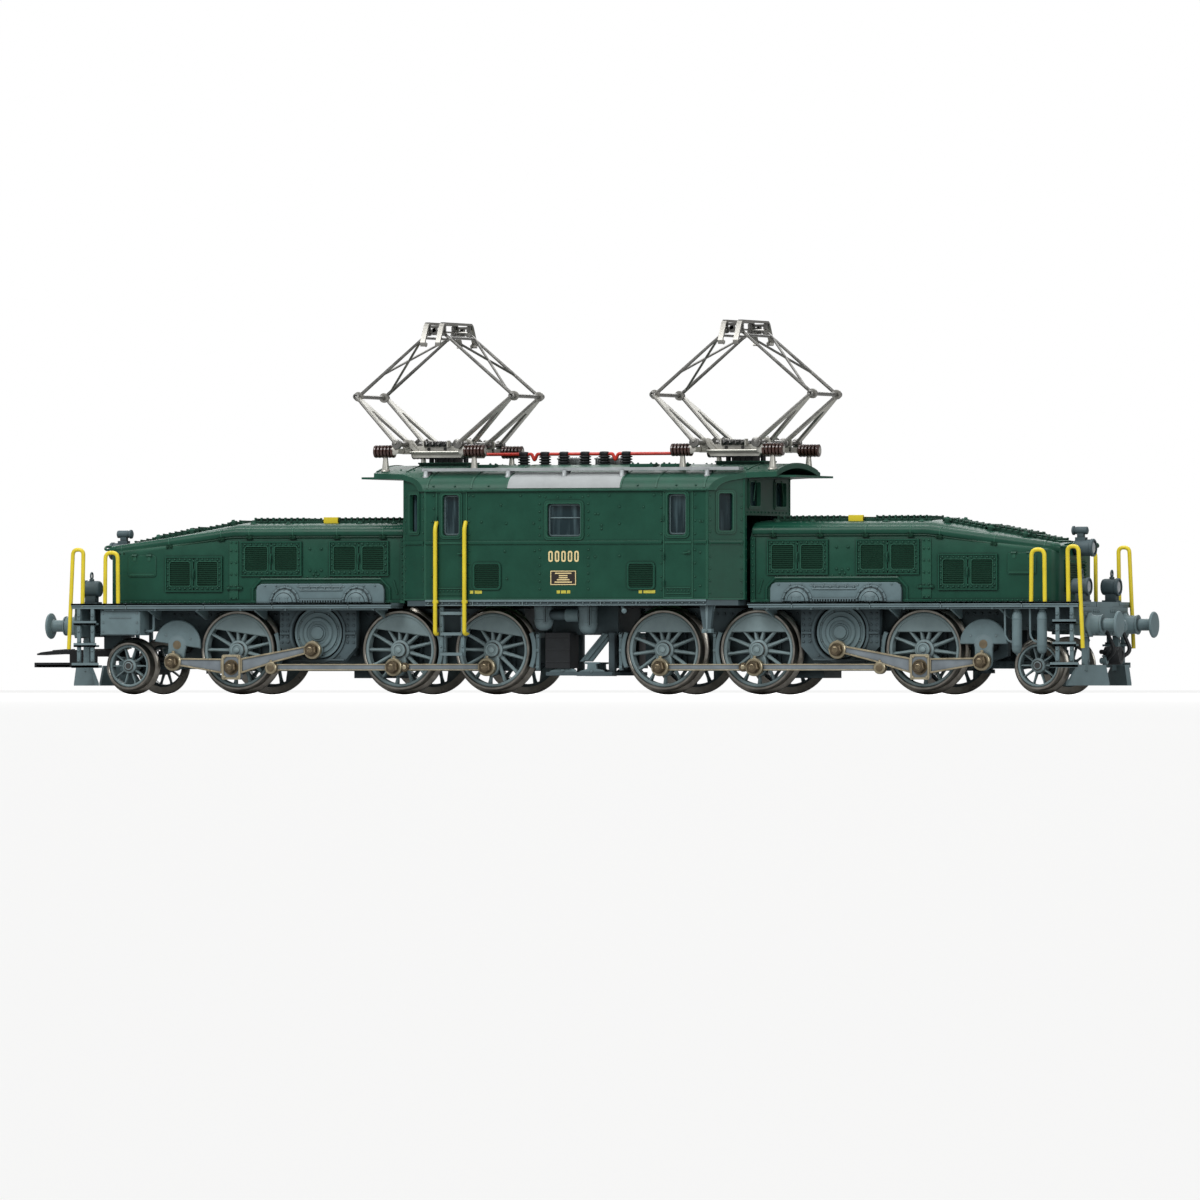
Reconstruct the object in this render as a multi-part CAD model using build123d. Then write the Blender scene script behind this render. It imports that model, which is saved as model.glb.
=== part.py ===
from build123d import *
import math
import os

os.makedirs("parts", exist_ok=True)

# Model electric locomotive, 1:87, two bogies with long bonnets under a centre cab.
# Millimetres. Origin on the track centre line at the height of the wheel flanges' lowest point,
# half-way between the two bogies. +X runs along the track, +Z is up.

# ---- driving dimensions ----
BUFFER_FACE_X = 111.5          # half the length over buffers
BUFFER_Y = 10.05
BUFFER_Z = 13.45
BOGIE_PIVOT_X = 35.5

DRIVER_XS = (71.4, 37.3, 17.8)
DRIVER_TREAD_R = 7.75
DRIVER_FLANGE_R = 8.65
DRIVER_Z = DRIVER_FLANGE_R
DRIVER_SPOKES = 13
CARRIER_X = 94.6
CARRIER_TREAD_R = 4.7
CARRIER_FLANGE_R = 5.6
CARRIER_Z = CARRIER_FLANGE_R
CARRIER_SPOKES = 10
WHEEL_BACK_Y = 7.15            # half of the back-to-back distance
WHEEL_FACE_Y = 10.05
FLANGE_WIDTH = 0.7
TYRE_THICKNESS = 0.55
AXLE_R = 1.5
CARRIER_AXLE_R = 1.0
RUNNING_GAP = 0.08             # radial clearance of every turning fit

JACKSHAFT_X = 54.4
JACKSHAFT_Z = 12.0
JACKSHAFT_DISC_R = 5.1
BLIND_X = 83.9
BLIND_Z = 9.7
BLIND_WEIGHT_R = 5.2
CRANK_THROW = 3.35
LEFT_CRANK_PHASE = 8.0         # degrees from straight down, near side
RIGHT_CRANK_PHASE = 0.0
FAR_SIDE_LEAD = 90.0           # the far side's cranks are quartered
PIN_R = 0.9
PIN_HEAD_R = 1.25
ROD_INNER_Y = 11.15
ROD_OUTER_Y = 12.35
PIN_HEAD_Y = 13.5
ROD_LINK_X = 63.1              # where the coupling rod hangs on the main rod

PONY_PIVOT_X = 80.5
FRAME_INNER_Y = 4.6
FRAME_OUTER_Y = 6.2
FRAME_TOP_Z = 16.7
BOARD_TOP_Z = 17.8
BOARD_Y = 15.0
BOARD_END_X = 104.7
BOARD_REAR_X = 37.0

HOOD_Y = 10.3
HOOD_REAR_X = 36.0
HOOD_SLOPE_X = 72.2
HOOD_NOSE_X = 98.6
HOOD_SIDE_TOP_Z = 30.5
HOOD_NOSE_SIDE_TOP_Z = 27.2
HOOD_TOP_Z = 33.7
HOOD_NOSE_TOP_Z = 29.0
WALL = 0.9

CAB_Y = 16.5
CAB_SIDE_X = 29.3
CAB_END_X = 35.4
CAB_END_Y = 12.3
CAB_BASE_Z = 18.3
CAB_EAVE_Z = 39.4
SOLEBAR_BOTTOM_Z = 17.2
ROOF_CROWN_Z = 44.65
ROOF_EDGE_Y = 16.8
ROOF_OVERHANG_X = 41.9
AWNING_X = 45.2

PANTO_X = 31.0                 # centre of each pantograph
PANTO_BASE_DX = 6.4
PANTO_BASE_Z = 48.7
PANTO_KNEE_DX = 16.3
PANTO_KNEE_Z = 58.05
PANTO_TOP_DX = 1.5
PANTO_TOP_Z = 70.4
PANTO_STRIP_TOP_Z = 72.4
PANTO_INSULATOR_Y = 9.8
PANTO_INSULATOR_Z = 47.5
PANTO_INSULATOR_R = 1.23

MOTOR_Z = 25.0
GEAR_MODULE = 0.4
IDLER_TEETH = 23
JACKSHAFT_TEETH = 20
IDLER_Z = 18.4


# ---- small building helpers ----
def block(x0, x1, y0, y1, z0, z1):
    """Box between two opposite corners, given in any order."""
    size = (abs(x1 - x0), abs(y1 - y0), abs(z1 - z0))
    return Pos((x0 + x1) / 2, (y0 + y1) / 2, (z0 + z1) / 2) * Box(*size)


def rod_x(x0, x1, y, z, r):
    """Round bar along X."""
    return Pos((x0 + x1) / 2, y, z) * Rot(0, 90, 0) * Cylinder(r, abs(x1 - x0))


def rod_y(x, z, y0, y1, r):
    """Round bar along Y."""
    return Pos(x, (y0 + y1) / 2, z) * Rot(90, 0, 0) * Cylinder(r, abs(y1 - y0))


def rod_z(x, y, z0, z1, r):
    """Round bar along Z."""
    return Pos(x, y, (z0 + z1) / 2) * Cylinder(r, abs(z1 - z0))


def bar(p, q, r):
    """Round bar between two points in space."""
    start = Vector(*p)
    run = Vector(*q) - start
    return extrude(Plane(origin=start, z_dir=run) * Circle(r), amount=run.length)


def blade(p, q, width, thickness):
    """Flat bar between two points, its broad side facing Y."""
    start = Vector(*p)
    run = Vector(*q) - start
    plane = Plane(origin=start, x_dir=run.cross(Vector(0, 1, 0)), z_dir=run)
    return extrude(plane * Rectangle(width, thickness), amount=run.length)


def bent_wire(points, r, bend):
    """Round wire through points, with every corner rounded."""
    path = FilletPolyline(*points, radius=bend)
    start = Plane(origin=path @ 0, z_dir=path % 0)
    return sweep(start * Circle(r), path=path)


def across(sketch, y0, y1):
    """Extrude a sketch drawn in X and Z from one Y to another."""
    low, high = sorted((y0, y1))
    return extrude(Plane.XZ.offset(-high) * sketch, amount=high - low)


def outline(points):
    """Flat face with straight edges through the points."""
    return make_face(Polyline(*points, close=True))


def upright(points, z0, z1):
    """Prism on a plan outline."""
    return extrude(Plane.XY.offset(z0) * outline(points), amount=z1 - z0)


def both_sides(make):
    """The same piece at the near side (-Y) and the far side (+Y)."""
    return make(-1) + make(1)


def turned(shape, x, z, phase):
    """Place a shape that is drawn about the Y axis, turned by phase degrees."""
    return Pos(x, 0, z) * Rot(0, phase, 0) * shape


def crank_offset(phase):
    """X and Z of a crank pin from its axle."""
    angle = math.radians(phase)
    return -CRANK_THROW * math.sin(angle), -CRANK_THROW * math.cos(angle)


def save(name, *solids):
    """Write one node. Several solids stay separate bodies in it."""
    pieces = []
    for shape in solids:
        pieces.extend(shape.solids())
    export_step(pieces[0] if len(pieces) == 1 else Compound(children=pieces), f"parts/{name}.step")


# ---- wheels, shafts and rods ----
def hexagon_head(x, z, y0, y1):
    return across(Pos(x, z) * RegularPolygon(PIN_HEAD_R, 6), y0, y1)


def crank_pin(side, root_y):
    """Pin from root_y out through the rods, with a collar behind them and a hexagon head in front."""
    pin = rod_y(0, -CRANK_THROW, side * root_y, side * PIN_HEAD_Y, PIN_R)
    collar = rod_y(0, -CRANK_THROW, side * 10.45, side * (ROD_INNER_Y - RUNNING_GAP), 1.3)
    head = hexagon_head(0, -CRANK_THROW, side * (ROD_OUTER_Y + RUNNING_GAP), side * PIN_HEAD_Y)
    return pin + collar + head


def spoke_star(count, r_in, r_out, width):
    star = Sketch()
    for number in range(count):
        angle = 90 + 180 / count + number * 360 / count
        star += Rot(0, 0, angle) * Pos((r_in + r_out) / 2, 0) * Rectangle(r_out - r_in, width)
    return star


def wheel_centre(side, rim_r, rim_width, hub_r, spokes, spoke_width, axle_r, driven):
    """Spoked wheel centre about the origin; a driven one has a crank boss and a balance weight."""
    rim = Circle(rim_r) - Circle(rim_r - rim_width)
    hub = Circle(hub_r)
    centre = across(rim, side * 7.9, side * 9.8)
    centre += across(rim + hub + spoke_star(spokes, hub_r - 0.3, rim_r - 0.1, spoke_width),
                     side * 8.3, side * 9.3)
    centre += across(hub, side * WHEEL_BACK_Y, side * 10.2)
    if driven:
        weight = Circle(rim_r - 0.1) & Pos(0, rim_r + 3.4) * Rectangle(4 * rim_r, 2 * rim_r)
        centre += across(weight, side * 8.1, side * 9.7)
        boss = Pos(0, -CRANK_THROW) * Circle(1.7) + Pos(0, -CRANK_THROW / 2) * Rectangle(3.2, CRANK_THROW)
        centre += across(boss, side * 8.1, side * 10.35)
        centre -= rod_y(0, -CRANK_THROW, side * 8.1, side * 10.35, PIN_R)
    return centre - rod_y(0, 0, side * 7, side * 10.6, axle_r)


def tyre(side, tread_r, flange_r):
    bore = Circle(tread_r - TYRE_THICKNESS)
    tread = across(Circle(tread_r) - bore, side * WHEEL_BACK_Y, side * WHEEL_FACE_Y)
    flange = across(Circle(flange_r) - bore, side * WHEEL_BACK_Y, side * (WHEEL_BACK_Y + FLANGE_WIDTH))
    return tread + flange


def driving_wheelset(x, phase):
    """Axle, two spoked centres, two tyres and two crank pins."""
    pieces = [rod_y(x, DRIVER_Z, -10.3, 10.3, AXLE_R)]
    for side, lead in ((-1, 0), (1, FAR_SIDE_LEAD)):
        parts = (
            wheel_centre(side, DRIVER_TREAD_R - TYRE_THICKNESS, 0.6, 1.95, DRIVER_SPOKES, 0.55, AXLE_R,
                         True),
            tyre(side, DRIVER_TREAD_R, DRIVER_FLANGE_R),
            crank_pin(side, 8.1),
        )
        pieces += [turned(part, x, DRIVER_Z, phase + lead) for part in parts]
    return pieces


def carrying_wheelset(x):
    pieces = [rod_y(x, CARRIER_Z, -10.3, 10.3, CARRIER_AXLE_R)]
    for side in (-1, 1):
        centre = wheel_centre(side, CARRIER_TREAD_R - TYRE_THICKNESS, 0.45, 1.4, CARRIER_SPOKES, 0.45,
                              CARRIER_AXLE_R, False)
        pieces += [turned(centre, x, CARRIER_Z, 0), turned(tyre(side, CARRIER_TREAD_R, CARRIER_FLANGE_R),
                                                           x, CARRIER_Z, 0)]
    return pieces


def gear_profile(teeth, tooth_angle):
    """Straight-flanked teeth, thinned so that they run with play."""
    pitch_r = teeth * GEAR_MODULE / 2
    profile = Circle(pitch_r - 0.48)
    root_r = pitch_r - 0.6
    tip_r = pitch_r + 0.34
    tooth = outline([(root_r, -0.31), (root_r, 0.31), (tip_r, 0.11), (tip_r, -0.11)])
    for number in range(teeth):
        profile += Rot(0, 0, tooth_angle + number * 360 / teeth) * tooth
    return profile


def idler_x():
    reach = (IDLER_TEETH + JACKSHAFT_TEETH) * GEAR_MODULE / 2
    return JACKSHAFT_X + math.sqrt(reach ** 2 - (IDLER_Z - JACKSHAFT_Z) ** 2)


def centre_line_angle():
    return math.degrees(math.atan2(IDLER_Z - JACKSHAFT_Z, idler_x() - JACKSHAFT_X))


def jackshaft(x, phase, geared):
    """Shaft with a stepped crank disc on each end; the powered one carries a gear."""
    shaft = rod_y(x, JACKSHAFT_Z, -8.9, 8.9, AXLE_R)
    if geared:
        gear = across(gear_profile(JACKSHAFT_TEETH, centre_line_angle()), -1.2, 1.2)
        shaft += Pos(x, 0, JACKSHAFT_Z) * gear
    for side, lead in ((-1, 0), (1, FAR_SIDE_LEAD)):
        disc = rod_y(0, 0, side * 8.8, side * 10.2, JACKSHAFT_DISC_R)
        disc += rod_y(0, 0, side * 10.2, side * 10.4, 2.9)
        disc += rod_y(0, 0, side * 10.4, side * 10.7, 1.3)
        disc += crank_pin(side, 10.0)
        shaft += turned(disc, x, JACKSHAFT_Z, phase + lead)
    return shaft


def blind_shaft(x, phase):
    """Shaft with a half-moon balance weight and a crank at each end."""
    shaft = rod_y(x, BLIND_Z, -10.4, 10.4, AXLE_R)
    for side, lead in ((-1, 0), (1, FAR_SIDE_LEAD)):
        half_moon = Circle(BLIND_WEIGHT_R) & Pos(0, BLIND_WEIGHT_R) * Rectangle(12, 2 * BLIND_WEIGHT_R)
        neck = Pos(0, -CRANK_THROW / 2) * Rectangle(3.6, CRANK_THROW)
        boss = Pos(0, -CRANK_THROW) * Circle(1.75)
        crank = across(half_moon + neck + boss, side * 10.3, side * 10.95)
        crank += crank_pin(side, 10.4)
        crank += rod_y(0, 0, side * 10.3, side * 11.0, 0.9)
        shaft += turned(crank, x, BLIND_Z, phase + lead)
    return shaft


def rod_pair(end, side, phase):
    """Main rod and coupling rod of one side; end is -1 or 1 for the bogie, side -1 or 1."""
    dx, dz = crank_offset(phase)
    blind = (end * BLIND_X + dx, BLIND_Z + dz)
    jack = (end * JACKSHAFT_X + dx, JACKSHAFT_Z + dz)
    pins = [(end * x + dx, DRIVER_Z + dz) for x in DRIVER_XS]
    first = pins[0]
    link = (end * ROD_LINK_X + dx, first[1] - 0.15)
    inner = side * ROD_INNER_Y
    outer = side * ROD_OUTER_Y

    body = outline([
        (blind[0] - end * 0.6, blind[1] + 0.8), (first[0] + end * 2.0, first[1] + 2.3),
        (first[0] - end * 2.0, first[1] + 2.4), (jack[0] + end * 0.6, jack[1] + 0.8),
        (jack[0] + end * 0.6, jack[1] - 0.8), (link[0] - end * 1.0, link[1] + 1.1),
        (link[0] + end * 1.0, link[1] + 0.5), (first[0] - end * 2.2, first[1] - 1.5),
        (first[0] - end * 1.4, first[1] - 2.4), (first[0] + end * 1.4, first[1] - 2.4),
        (first[0] + end * 2.2, first[1] - 1.2), (blind[0] - end * 0.6, blind[1] - 0.8)])
    for centre, eye_r in ((blind, 1.75), (jack, 1.8)):
        body += Pos(*centre) * Circle(eye_r)
    main = across(body, inner, outer)
    middle_y = side * (ROD_INNER_Y + 0.6)
    main -= rod_y(*link, inner, middle_y, 1.35)
    main += rod_y(*link, middle_y + side * 0.05, outer, 1.2)
    main += rod_y(*link, inner, outer, 0.5)
    for centre in (blind, jack, first):
        main -= rod_y(*centre, inner - side, outer + side, PIN_R + RUNNING_GAP)

    bar_mid_x = (link[0] + pins[2][0]) / 2
    slim = Pos(bar_mid_x, pins[1][1]) * Rectangle(abs(link[0] - pins[2][0]), 1.5)
    eyes = Pos(*link) * Circle(1.2) + Pos(*pins[1]) * Circle(1.75) + Pos(*pins[2]) * Circle(1.75)
    coupling = across(slim, inner + side * 0.15, side * 11.7) + across(eyes, inner, middle_y)
    coupling += across(Pos(*pins[1]) * Circle(1.75) + Pos(*pins[2]) * Circle(1.75), inner, outer)
    coupling -= rod_y(*link, inner - side, outer + side, 0.5 + RUNNING_GAP)
    for centre in pins[1:]:
        coupling -= rod_y(*centre, inner - side, outer + side, PIN_R + RUNNING_GAP)
    coupling -= across(Pos(link[0] + end * 3.2, link[1]) * Rectangle(4, 6), inner - side, outer + side)
    return main, coupling


# ---- bogie ----
def bogie_frame(end, powered):
    """Two inside side plates, cross-members, the jackshaft's outer plates and the pivot screws."""
    x = lambda value: end * value
    cheek = outline([(x(12.6), 6.2), (x(14.2), 4.6), (x(78), 4.6), (x(87.2), 7.4),
                     (x(87.2), FRAME_TOP_Z), (x(12.6), FRAME_TOP_Z)])
    frame = both_sides(lambda side: across(cheek, side * FRAME_INNER_Y, side * FRAME_OUTER_Y))
    frame += block(x(12.6), x(14.2), -FRAME_OUTER_Y, FRAME_OUTER_Y, 6.2, FRAME_TOP_Z)
    frame += block(x(30.5), x(40.5), -4.7, 4.7, 13.0, FRAME_TOP_Z)
    frame += block(x(41.0), x(49.0), -4.7, 4.7, 3.2, 6.0)
    frame += block(x(78.8), x(82.2), -4.7, 4.7, 7.2, 12.8)
    frame += block(x(80.0), x(103.2), -FRAME_OUTER_Y, FRAME_OUTER_Y, 12.4, FRAME_TOP_Z)
    outer_plate = outline([(x(46.3), FRAME_TOP_Z), (x(62.4), FRAME_TOP_Z), (x(62.4), 9.3), (x(59.6), 6.2),
                           (x(49.1), 6.2), (x(46.3), 9.3)])
    outer_plate -= Pos(x(JACKSHAFT_X), JACKSHAFT_Z) * Circle(JACKSHAFT_DISC_R + 0.25)

    def cheek_box(side):
        plate = across(outer_plate, side * 8.6, side * 10.2)
        for web_x in (48.0, 60.8):
            plate += block(x(web_x - 0.8), x(web_x + 0.8), side * 6.1, side * 8.7, 7.6, FRAME_TOP_Z)
        return plate

    frame += both_sides(cheek_box)
    if powered:
        frame += block(x(41.0), x(49.0), -4.4, 4.4, 13.0, 20.6)
        frame += block(x(41.0), x(49.0), -4.7, 4.7, 13.0, FRAME_TOP_Z)
        frame -= rod_x(x(38), x(56), 0, MOTOR_Z, 6.0)
        for side in (-1, 1):
            bracket = block(x(57.9), x(62.4), side * 2.6, side * 4.4, 13.0, 20.4)
            bracket += block(x(57.9), x(62.4), side * 2.6, side * 4.7, 13.0, FRAME_TOP_Z)
            frame += bracket
        frame -= rod_y(x(idler_x()), IDLER_Z, -5, 5, 0.8 + RUNNING_GAP)
    for axle_x, axle_z in [(value, DRIVER_Z) for value in DRIVER_XS] + [(JACKSHAFT_X, JACKSHAFT_Z),
                                                                        (BLIND_X, BLIND_Z)]:
        frame -= rod_y(x(axle_x), axle_z, -7, 7, AXLE_R + RUNNING_GAP)
    frame -= rod_z(x(BOGIE_PIVOT_X), 0, 13.6, FRAME_TOP_Z, 1.5)
    frame -= rod_z(x(PONY_PIVOT_X), 0, 7.2, 10.6, 1.0)
    swivel_screw = rod_z(x(BOGIE_PIVOT_X), 0, 13.6, 18.9, 1.5) + rod_z(x(BOGIE_PIVOT_X), 0, 18.5, 19.3, 2.6)
    pony_screw = rod_z(x(PONY_PIVOT_X), 0, 4.3, 10.6, 1.0) + rod_z(x(PONY_PIVOT_X), 0, 4.1, 4.85, 1.7)
    if end < 0:
        frame += block(x(99.2), x(103.2), -2.2, 2.2, 9.0, 12.5)
        frame -= rod_z(x(101.4), 0, 9.0, 11.4, 0.9)
        coupler_screw = rod_z(x(101.4), 0, 7.0, 11.4, 0.9) + rod_z(x(101.4), 0, 6.6, 7.2, 1.5)
        return [frame, swivel_screw, pony_screw, coupler_screw]
    return [frame, swivel_screw, pony_screw]


def pony_truck(end):
    """Arm with a bearing block for the carrying axle."""
    x = lambda value: end * value
    arm = upright([(x(80.5), -2.6), (x(93.2), -2.6), (x(93.2), 2.6), (x(80.5), 2.6)], 5.0, 6.4)
    arm += rod_z(x(PONY_PIVOT_X), 0, 5.0, 6.4, 2.6)
    arm += block(x(92.4), x(96.8), -5.0, 5.0, 3.9, 7.3)
    arm -= rod_z(x(PONY_PIVOT_X), 0, 4.5, 7.0, 1.0 + RUNNING_GAP)
    return arm - rod_y(x(CARRIER_X), CARRIER_Z, -6, 6, CARRIER_AXLE_R + RUNNING_GAP)


def end_steps(end, side):
    """Two hanging posts with rungs and a bottom tread."""
    x = lambda value: end * value
    steps = block(x(98.9), x(104.6), side * 13.2, side * 15.0, 5.2, 5.8)
    for post_x in (100.3, 103.2):
        steps += block(x(post_x - 0.35), x(post_x + 0.35), side * 14.2, side * 14.9, 5.4, FRAME_TOP_Z + 0.1)
    for rung_z in (9.3, 13.6):
        steps += block(x(99.4), x(104.2), side * 13.4, side * 15.0, rung_z, rung_z + 0.55)
    return steps


def rail_guard(end, side):
    """Oblique guard plate in front of the carrying wheel, hung from the buffer beam."""
    x = lambda value: end * value
    plate = upright([(x(101.6), side * 10.2), (x(102.3), side * 10.8), (x(107.6), side * 6.4),
                     (x(106.9), side * 5.8)], 1.7, 5.7)
    plate += block(x(103.3), x(104.5), side * 8.2, side * 9.4, 4.6, 11.4)
    return plate


def running_board(end):
    """Platform along the bogie with the bonnet's lower covers, the buffer beam, steps and guards."""
    x = lambda value: end * value
    board = block(x(BOARD_REAR_X), x(BOARD_END_X), -BOARD_Y, BOARD_Y, FRAME_TOP_Z, BOARD_TOP_Z)
    board -= block(x(30), x(80), -FRAME_INNER_Y, FRAME_INNER_Y, 16, 19)
    board -= block(x(30), x(41.5), -5.4, 5.4, 16, 19)
    for side in (-1, 1):
        for axle_x in DRIVER_XS[:2]:
            board -= block(x(axle_x - 4.2), x(axle_x + 4.2), side * 6.7, side * 8.3, 16, 19)
        board -= block(x(JACKSHAFT_X - 2.9), x(JACKSHAFT_X + 2.9), side * 8.5, side * 10.1, 16, 19)
        board -= block(x(JACKSHAFT_X - 3.7), x(JACKSHAFT_X + 3.7), side * 8.5, side * 13.8, 16, 17.45)
        cover = outline([(x(40.2), 17.7), (x(67.1), 17.7), (x(67.1), 20.1), (x(65.6), 21.6), (x(41.7), 21.6),
                         (x(40.2), 20.1)])
        board += across(cover, side * HOOD_Y, side * 11.1)
        for dome_x in (45.8, 61.0):
            dome = Pos(x(dome_x), side * 11.1, 18.3) * Sphere(3.1)
            dome &= block(x(40), x(68), side * 10.9, side * 12.3, BOARD_TOP_Z - 0.05, 22)
            board += dome
        board += end_steps(end, side)
        board += rail_guard(end, side)
    board += block(x(103.2), x(BOARD_END_X), -13.2, 13.2, 11.3, FRAME_TOP_Z + 0.1)
    for side in (-1, 1):
        board -= rod_x(x(103), x(105), side * BUFFER_Y, BUFFER_Z, 1.2)
    return board


def buffers(end):
    """Two buffers, each a socket and a plunger with its head."""
    x = lambda value: end * value
    pieces = []
    for side in (-1, 1):
        y = side * BUFFER_Y
        socket = rod_x(x(BOARD_END_X), x(105.4), y, BUFFER_Z, 2.3)
        socket += rod_x(x(105.4), x(108.0), y, BUFFER_Z, 1.75)
        socket -= rod_x(x(BOARD_END_X), x(108.0), y, BUFFER_Z, 1.2)
        plunger = rod_x(x(103.4), x(110.7), y, BUFFER_Z, 1.2)
        plunger += rod_x(x(110.6), x(BUFFER_FACE_X), y, BUFFER_Z, 2.55)
        pieces += [socket, plunger]
    return pieces


def lamps(end):
    """Two lamps on the platform, one lamp and a whistle on the bonnet's nose."""
    x = lambda value: end * value
    pieces = []
    for side in (-1, 1):
        y = side * 8.5
        lamp = rod_x(x(101.7), x(104.7), y, 20.7, 1.7)
        lamp += block(x(102.0), x(104.2), y - 0.9, y + 0.9, BOARD_TOP_Z, 20.0)
        lamp += Pos(x(103.1), y, 22.95) * Rot(0, 90, 90) * Torus(0.6, 0.18)
        pieces.append(lamp)
    top = rod_x(x(HOOD_NOSE_X), x(102.6), 0, 28.2, 1.7)
    top += block(x(99.0), x(100.6), -0.7, 0.7, 29.4, 31.2)
    top += rod_x(x(98.1), x(101.3), 0, 31.5, 0.75)
    pieces.append(top)
    return pieces


def end_handrails(end):
    """Hairpin wires: one short and one long on each side of the platform."""
    x = lambda value: end * value
    pieces = []
    for side in (-1, 1):
        y = side * 14.5
        short = [(x(94.9), y, 17.0), (x(95.0), y, 27.4), (x(97.6), y, 27.4), (x(97.7), y, 17.0)]
        long_one = [(x(102.5), y, 17.0), (x(102.3), y, 28.0), (x(104.5), y, 28.0), (x(105.4), y, 8.9)]
        pieces.append(bent_wire(short, 0.4, 1.25))
        pieces.append(bent_wire(long_one, 0.4, 1.0))
    return pieces


def brake_gear(end):
    """Brake shoes and hangers, the air tanks on one side and the equipment box on the other."""
    x = lambda value: end * value
    pieces = []
    for axle_x in DRIVER_XS:
        for side in (-1, 1):
            ring = Circle(9.0) - Circle(DRIVER_TREAD_R + 0.3)
            window = Pos(-8, 0) * Rectangle(6, 6.4)
            facing = Rot(0, 0, 0) if end > 0 else Rot(0, 0, 180)
            shoe = across(Pos(x(axle_x), DRIVER_Z) * facing * (ring & window), side * 8.3, side * 9.7)
            hang_x = axle_x - 9.15
            if axle_x == DRIVER_XS[0]:
                shoe += block(x(62.4), x(63.0), side * 8.6, side * 9.4, 9.4, 11.4)
            else:
                shoe += block(x(hang_x - 0.3), x(hang_x + 0.3), side * 8.6, side * 9.4, 4.6, 12.0)
                shoe += block(x(hang_x - 0.35), x(hang_x + 0.25), side * FRAME_OUTER_Y, side * 9.4,
                              11.0, 12.0)
            if axle_x == DRIVER_XS[-1]:
                shoe += block(x(hang_x), x(12.8), side * FRAME_OUTER_Y, side * 7.0, 11.0, 12.0)
            pieces.append(shoe)
    tank_side = end * -1
    for tank_x in (91.5, 96.6):
        tank = rod_z(x(tank_x), tank_side * 13.0, 8.8, 16.0, 1.0)
        tank += Pos(x(tank_x), tank_side * 13.0, 8.8) * Sphere(1.0)
        tank += rod_z(x(tank_x), tank_side * 13.0, 15.9, FRAME_TOP_Z, 0.6)
        pieces.append(tank)
    pieces.append(block(x(90.4), x(99.0), -tank_side * 9.6, -tank_side * 14.0, 11.6, FRAME_TOP_Z))
    return pieces


def hood_section(x, half_width, side_z, edge_y, edge_z, crown_z, bottom_z):
    """Bonnet cross-section: flat sides, a rounded shoulder and a slightly crowned top."""
    plane = Plane(origin=(x, 0, 0), x_dir=(0, 1, 0), z_dir=(1, 0, 0))
    shoulder = (half_width - (half_width - edge_y) * 0.28, side_z + (edge_z - side_z) * 0.66)
    wire = Polyline((-half_width, side_z), (-half_width, bottom_z), (half_width, bottom_z),
                    (half_width, side_z))
    wire += ThreePointArc((half_width, side_z), shoulder, (edge_y, edge_z))
    wire += ThreePointArc((edge_y, edge_z), (0, crown_z), (-edge_y, edge_z))
    wire += ThreePointArc((-edge_y, edge_z), (-shoulder[0], shoulder[1]), (-half_width, side_z))
    return plane * make_face(wire)


def hood_solid(end, inset, rear_x, nose_x, bottom_z):
    """Solid bonnet, level over the rear part and falling towards the nose."""
    half_width = HOOD_Y - inset
    level = (half_width, HOOD_SIDE_TOP_Z - inset, 8.0 - inset, 33.1 - inset, HOOD_TOP_Z - inset, bottom_z)
    low = (half_width, HOOD_NOSE_SIDE_TOP_Z - inset, 8.9 - inset, 28.5 - inset, HOOD_NOSE_TOP_Z - inset,
           bottom_z)
    stations = [hood_section(rear_x, *level), hood_section(HOOD_SLOPE_X, *level),
                hood_section(HOOD_NOSE_X, *low)]
    solid = loft(stations[:2], ruled=True) + loft(stations[1:], ruled=True)
    plan = Pos((rear_x + nose_x) / 2, 0) * Rectangle(nose_x - rear_x, 2 * half_width)
    nose_corners = plan.vertices().sort_by(Axis.X)[-2:]
    plan = fillet(nose_corners, radius=2.0 - inset)
    solid &= extrude(plan, amount=40)
    return solid if end > 0 else mirror(solid, about=Plane.YZ)


LOUVRE_PANELS = ((39.4, 51.9, 23.1, 29.9), (57.7, 70.6, 23.1, 29.9), (74.5, 86.6, 20.1, 27.0))


def hood(end):
    """Bonnet shell with louvre frames, rolled top edges, wire loops at the nose and boards on its roof."""
    x = lambda value: end * value
    shell = hood_solid(end, 0, HOOD_REAR_X, HOOD_NOSE_X, BOARD_TOP_Z)
    shell -= hood_solid(end, WALL, HOOD_REAR_X + WALL, HOOD_NOSE_X - WALL, 10.0)
    for side in (-1, 1):
        for x0, x1, z0, z1 in LOUVRE_PANELS:
            frame = block(x(x0), x(x1), side * (HOOD_Y - 0.1), side * (HOOD_Y + 0.25), z0, z1)
            middle = (x0 + x1) / 2
            for w0, w1 in ((x0 + 1.1, middle - 0.6), (middle + 0.6, x1 - 1.1)):
                frame -= block(x(w0), x(w1), side * HOOD_Y, side * (HOOD_Y + 1), z0 + 1.1, z1 - 1.1)
            shell += frame
        knuckle = (x(HOOD_SLOPE_X), side * 9.55, 31.55)
        shell += bar((x(HOOD_REAR_X + 0.5), side * 9.55, 31.55), knuckle, 1.05)
        shell += bar(knuckle, (x(98.2), side * 9.0, 27.95), 0.95)
        corner_loop = [(x(97.4), side * 8.4, 28.2), (x(100.7), side * 7.7, 28.4),
                       (x(100.9), side * 6.3, 29.1), (x(97.4), side * 4.8, 28.6)]
        shell += bent_wire(corner_loop, 0.27, 0.5)
    shell += block(x(38.5), x(70.5), -4.6, 4.6, 33.2, 34.1)
    return shell - block(x(35), x(39), -5.2, 5.2, 17, 20.6)


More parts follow.
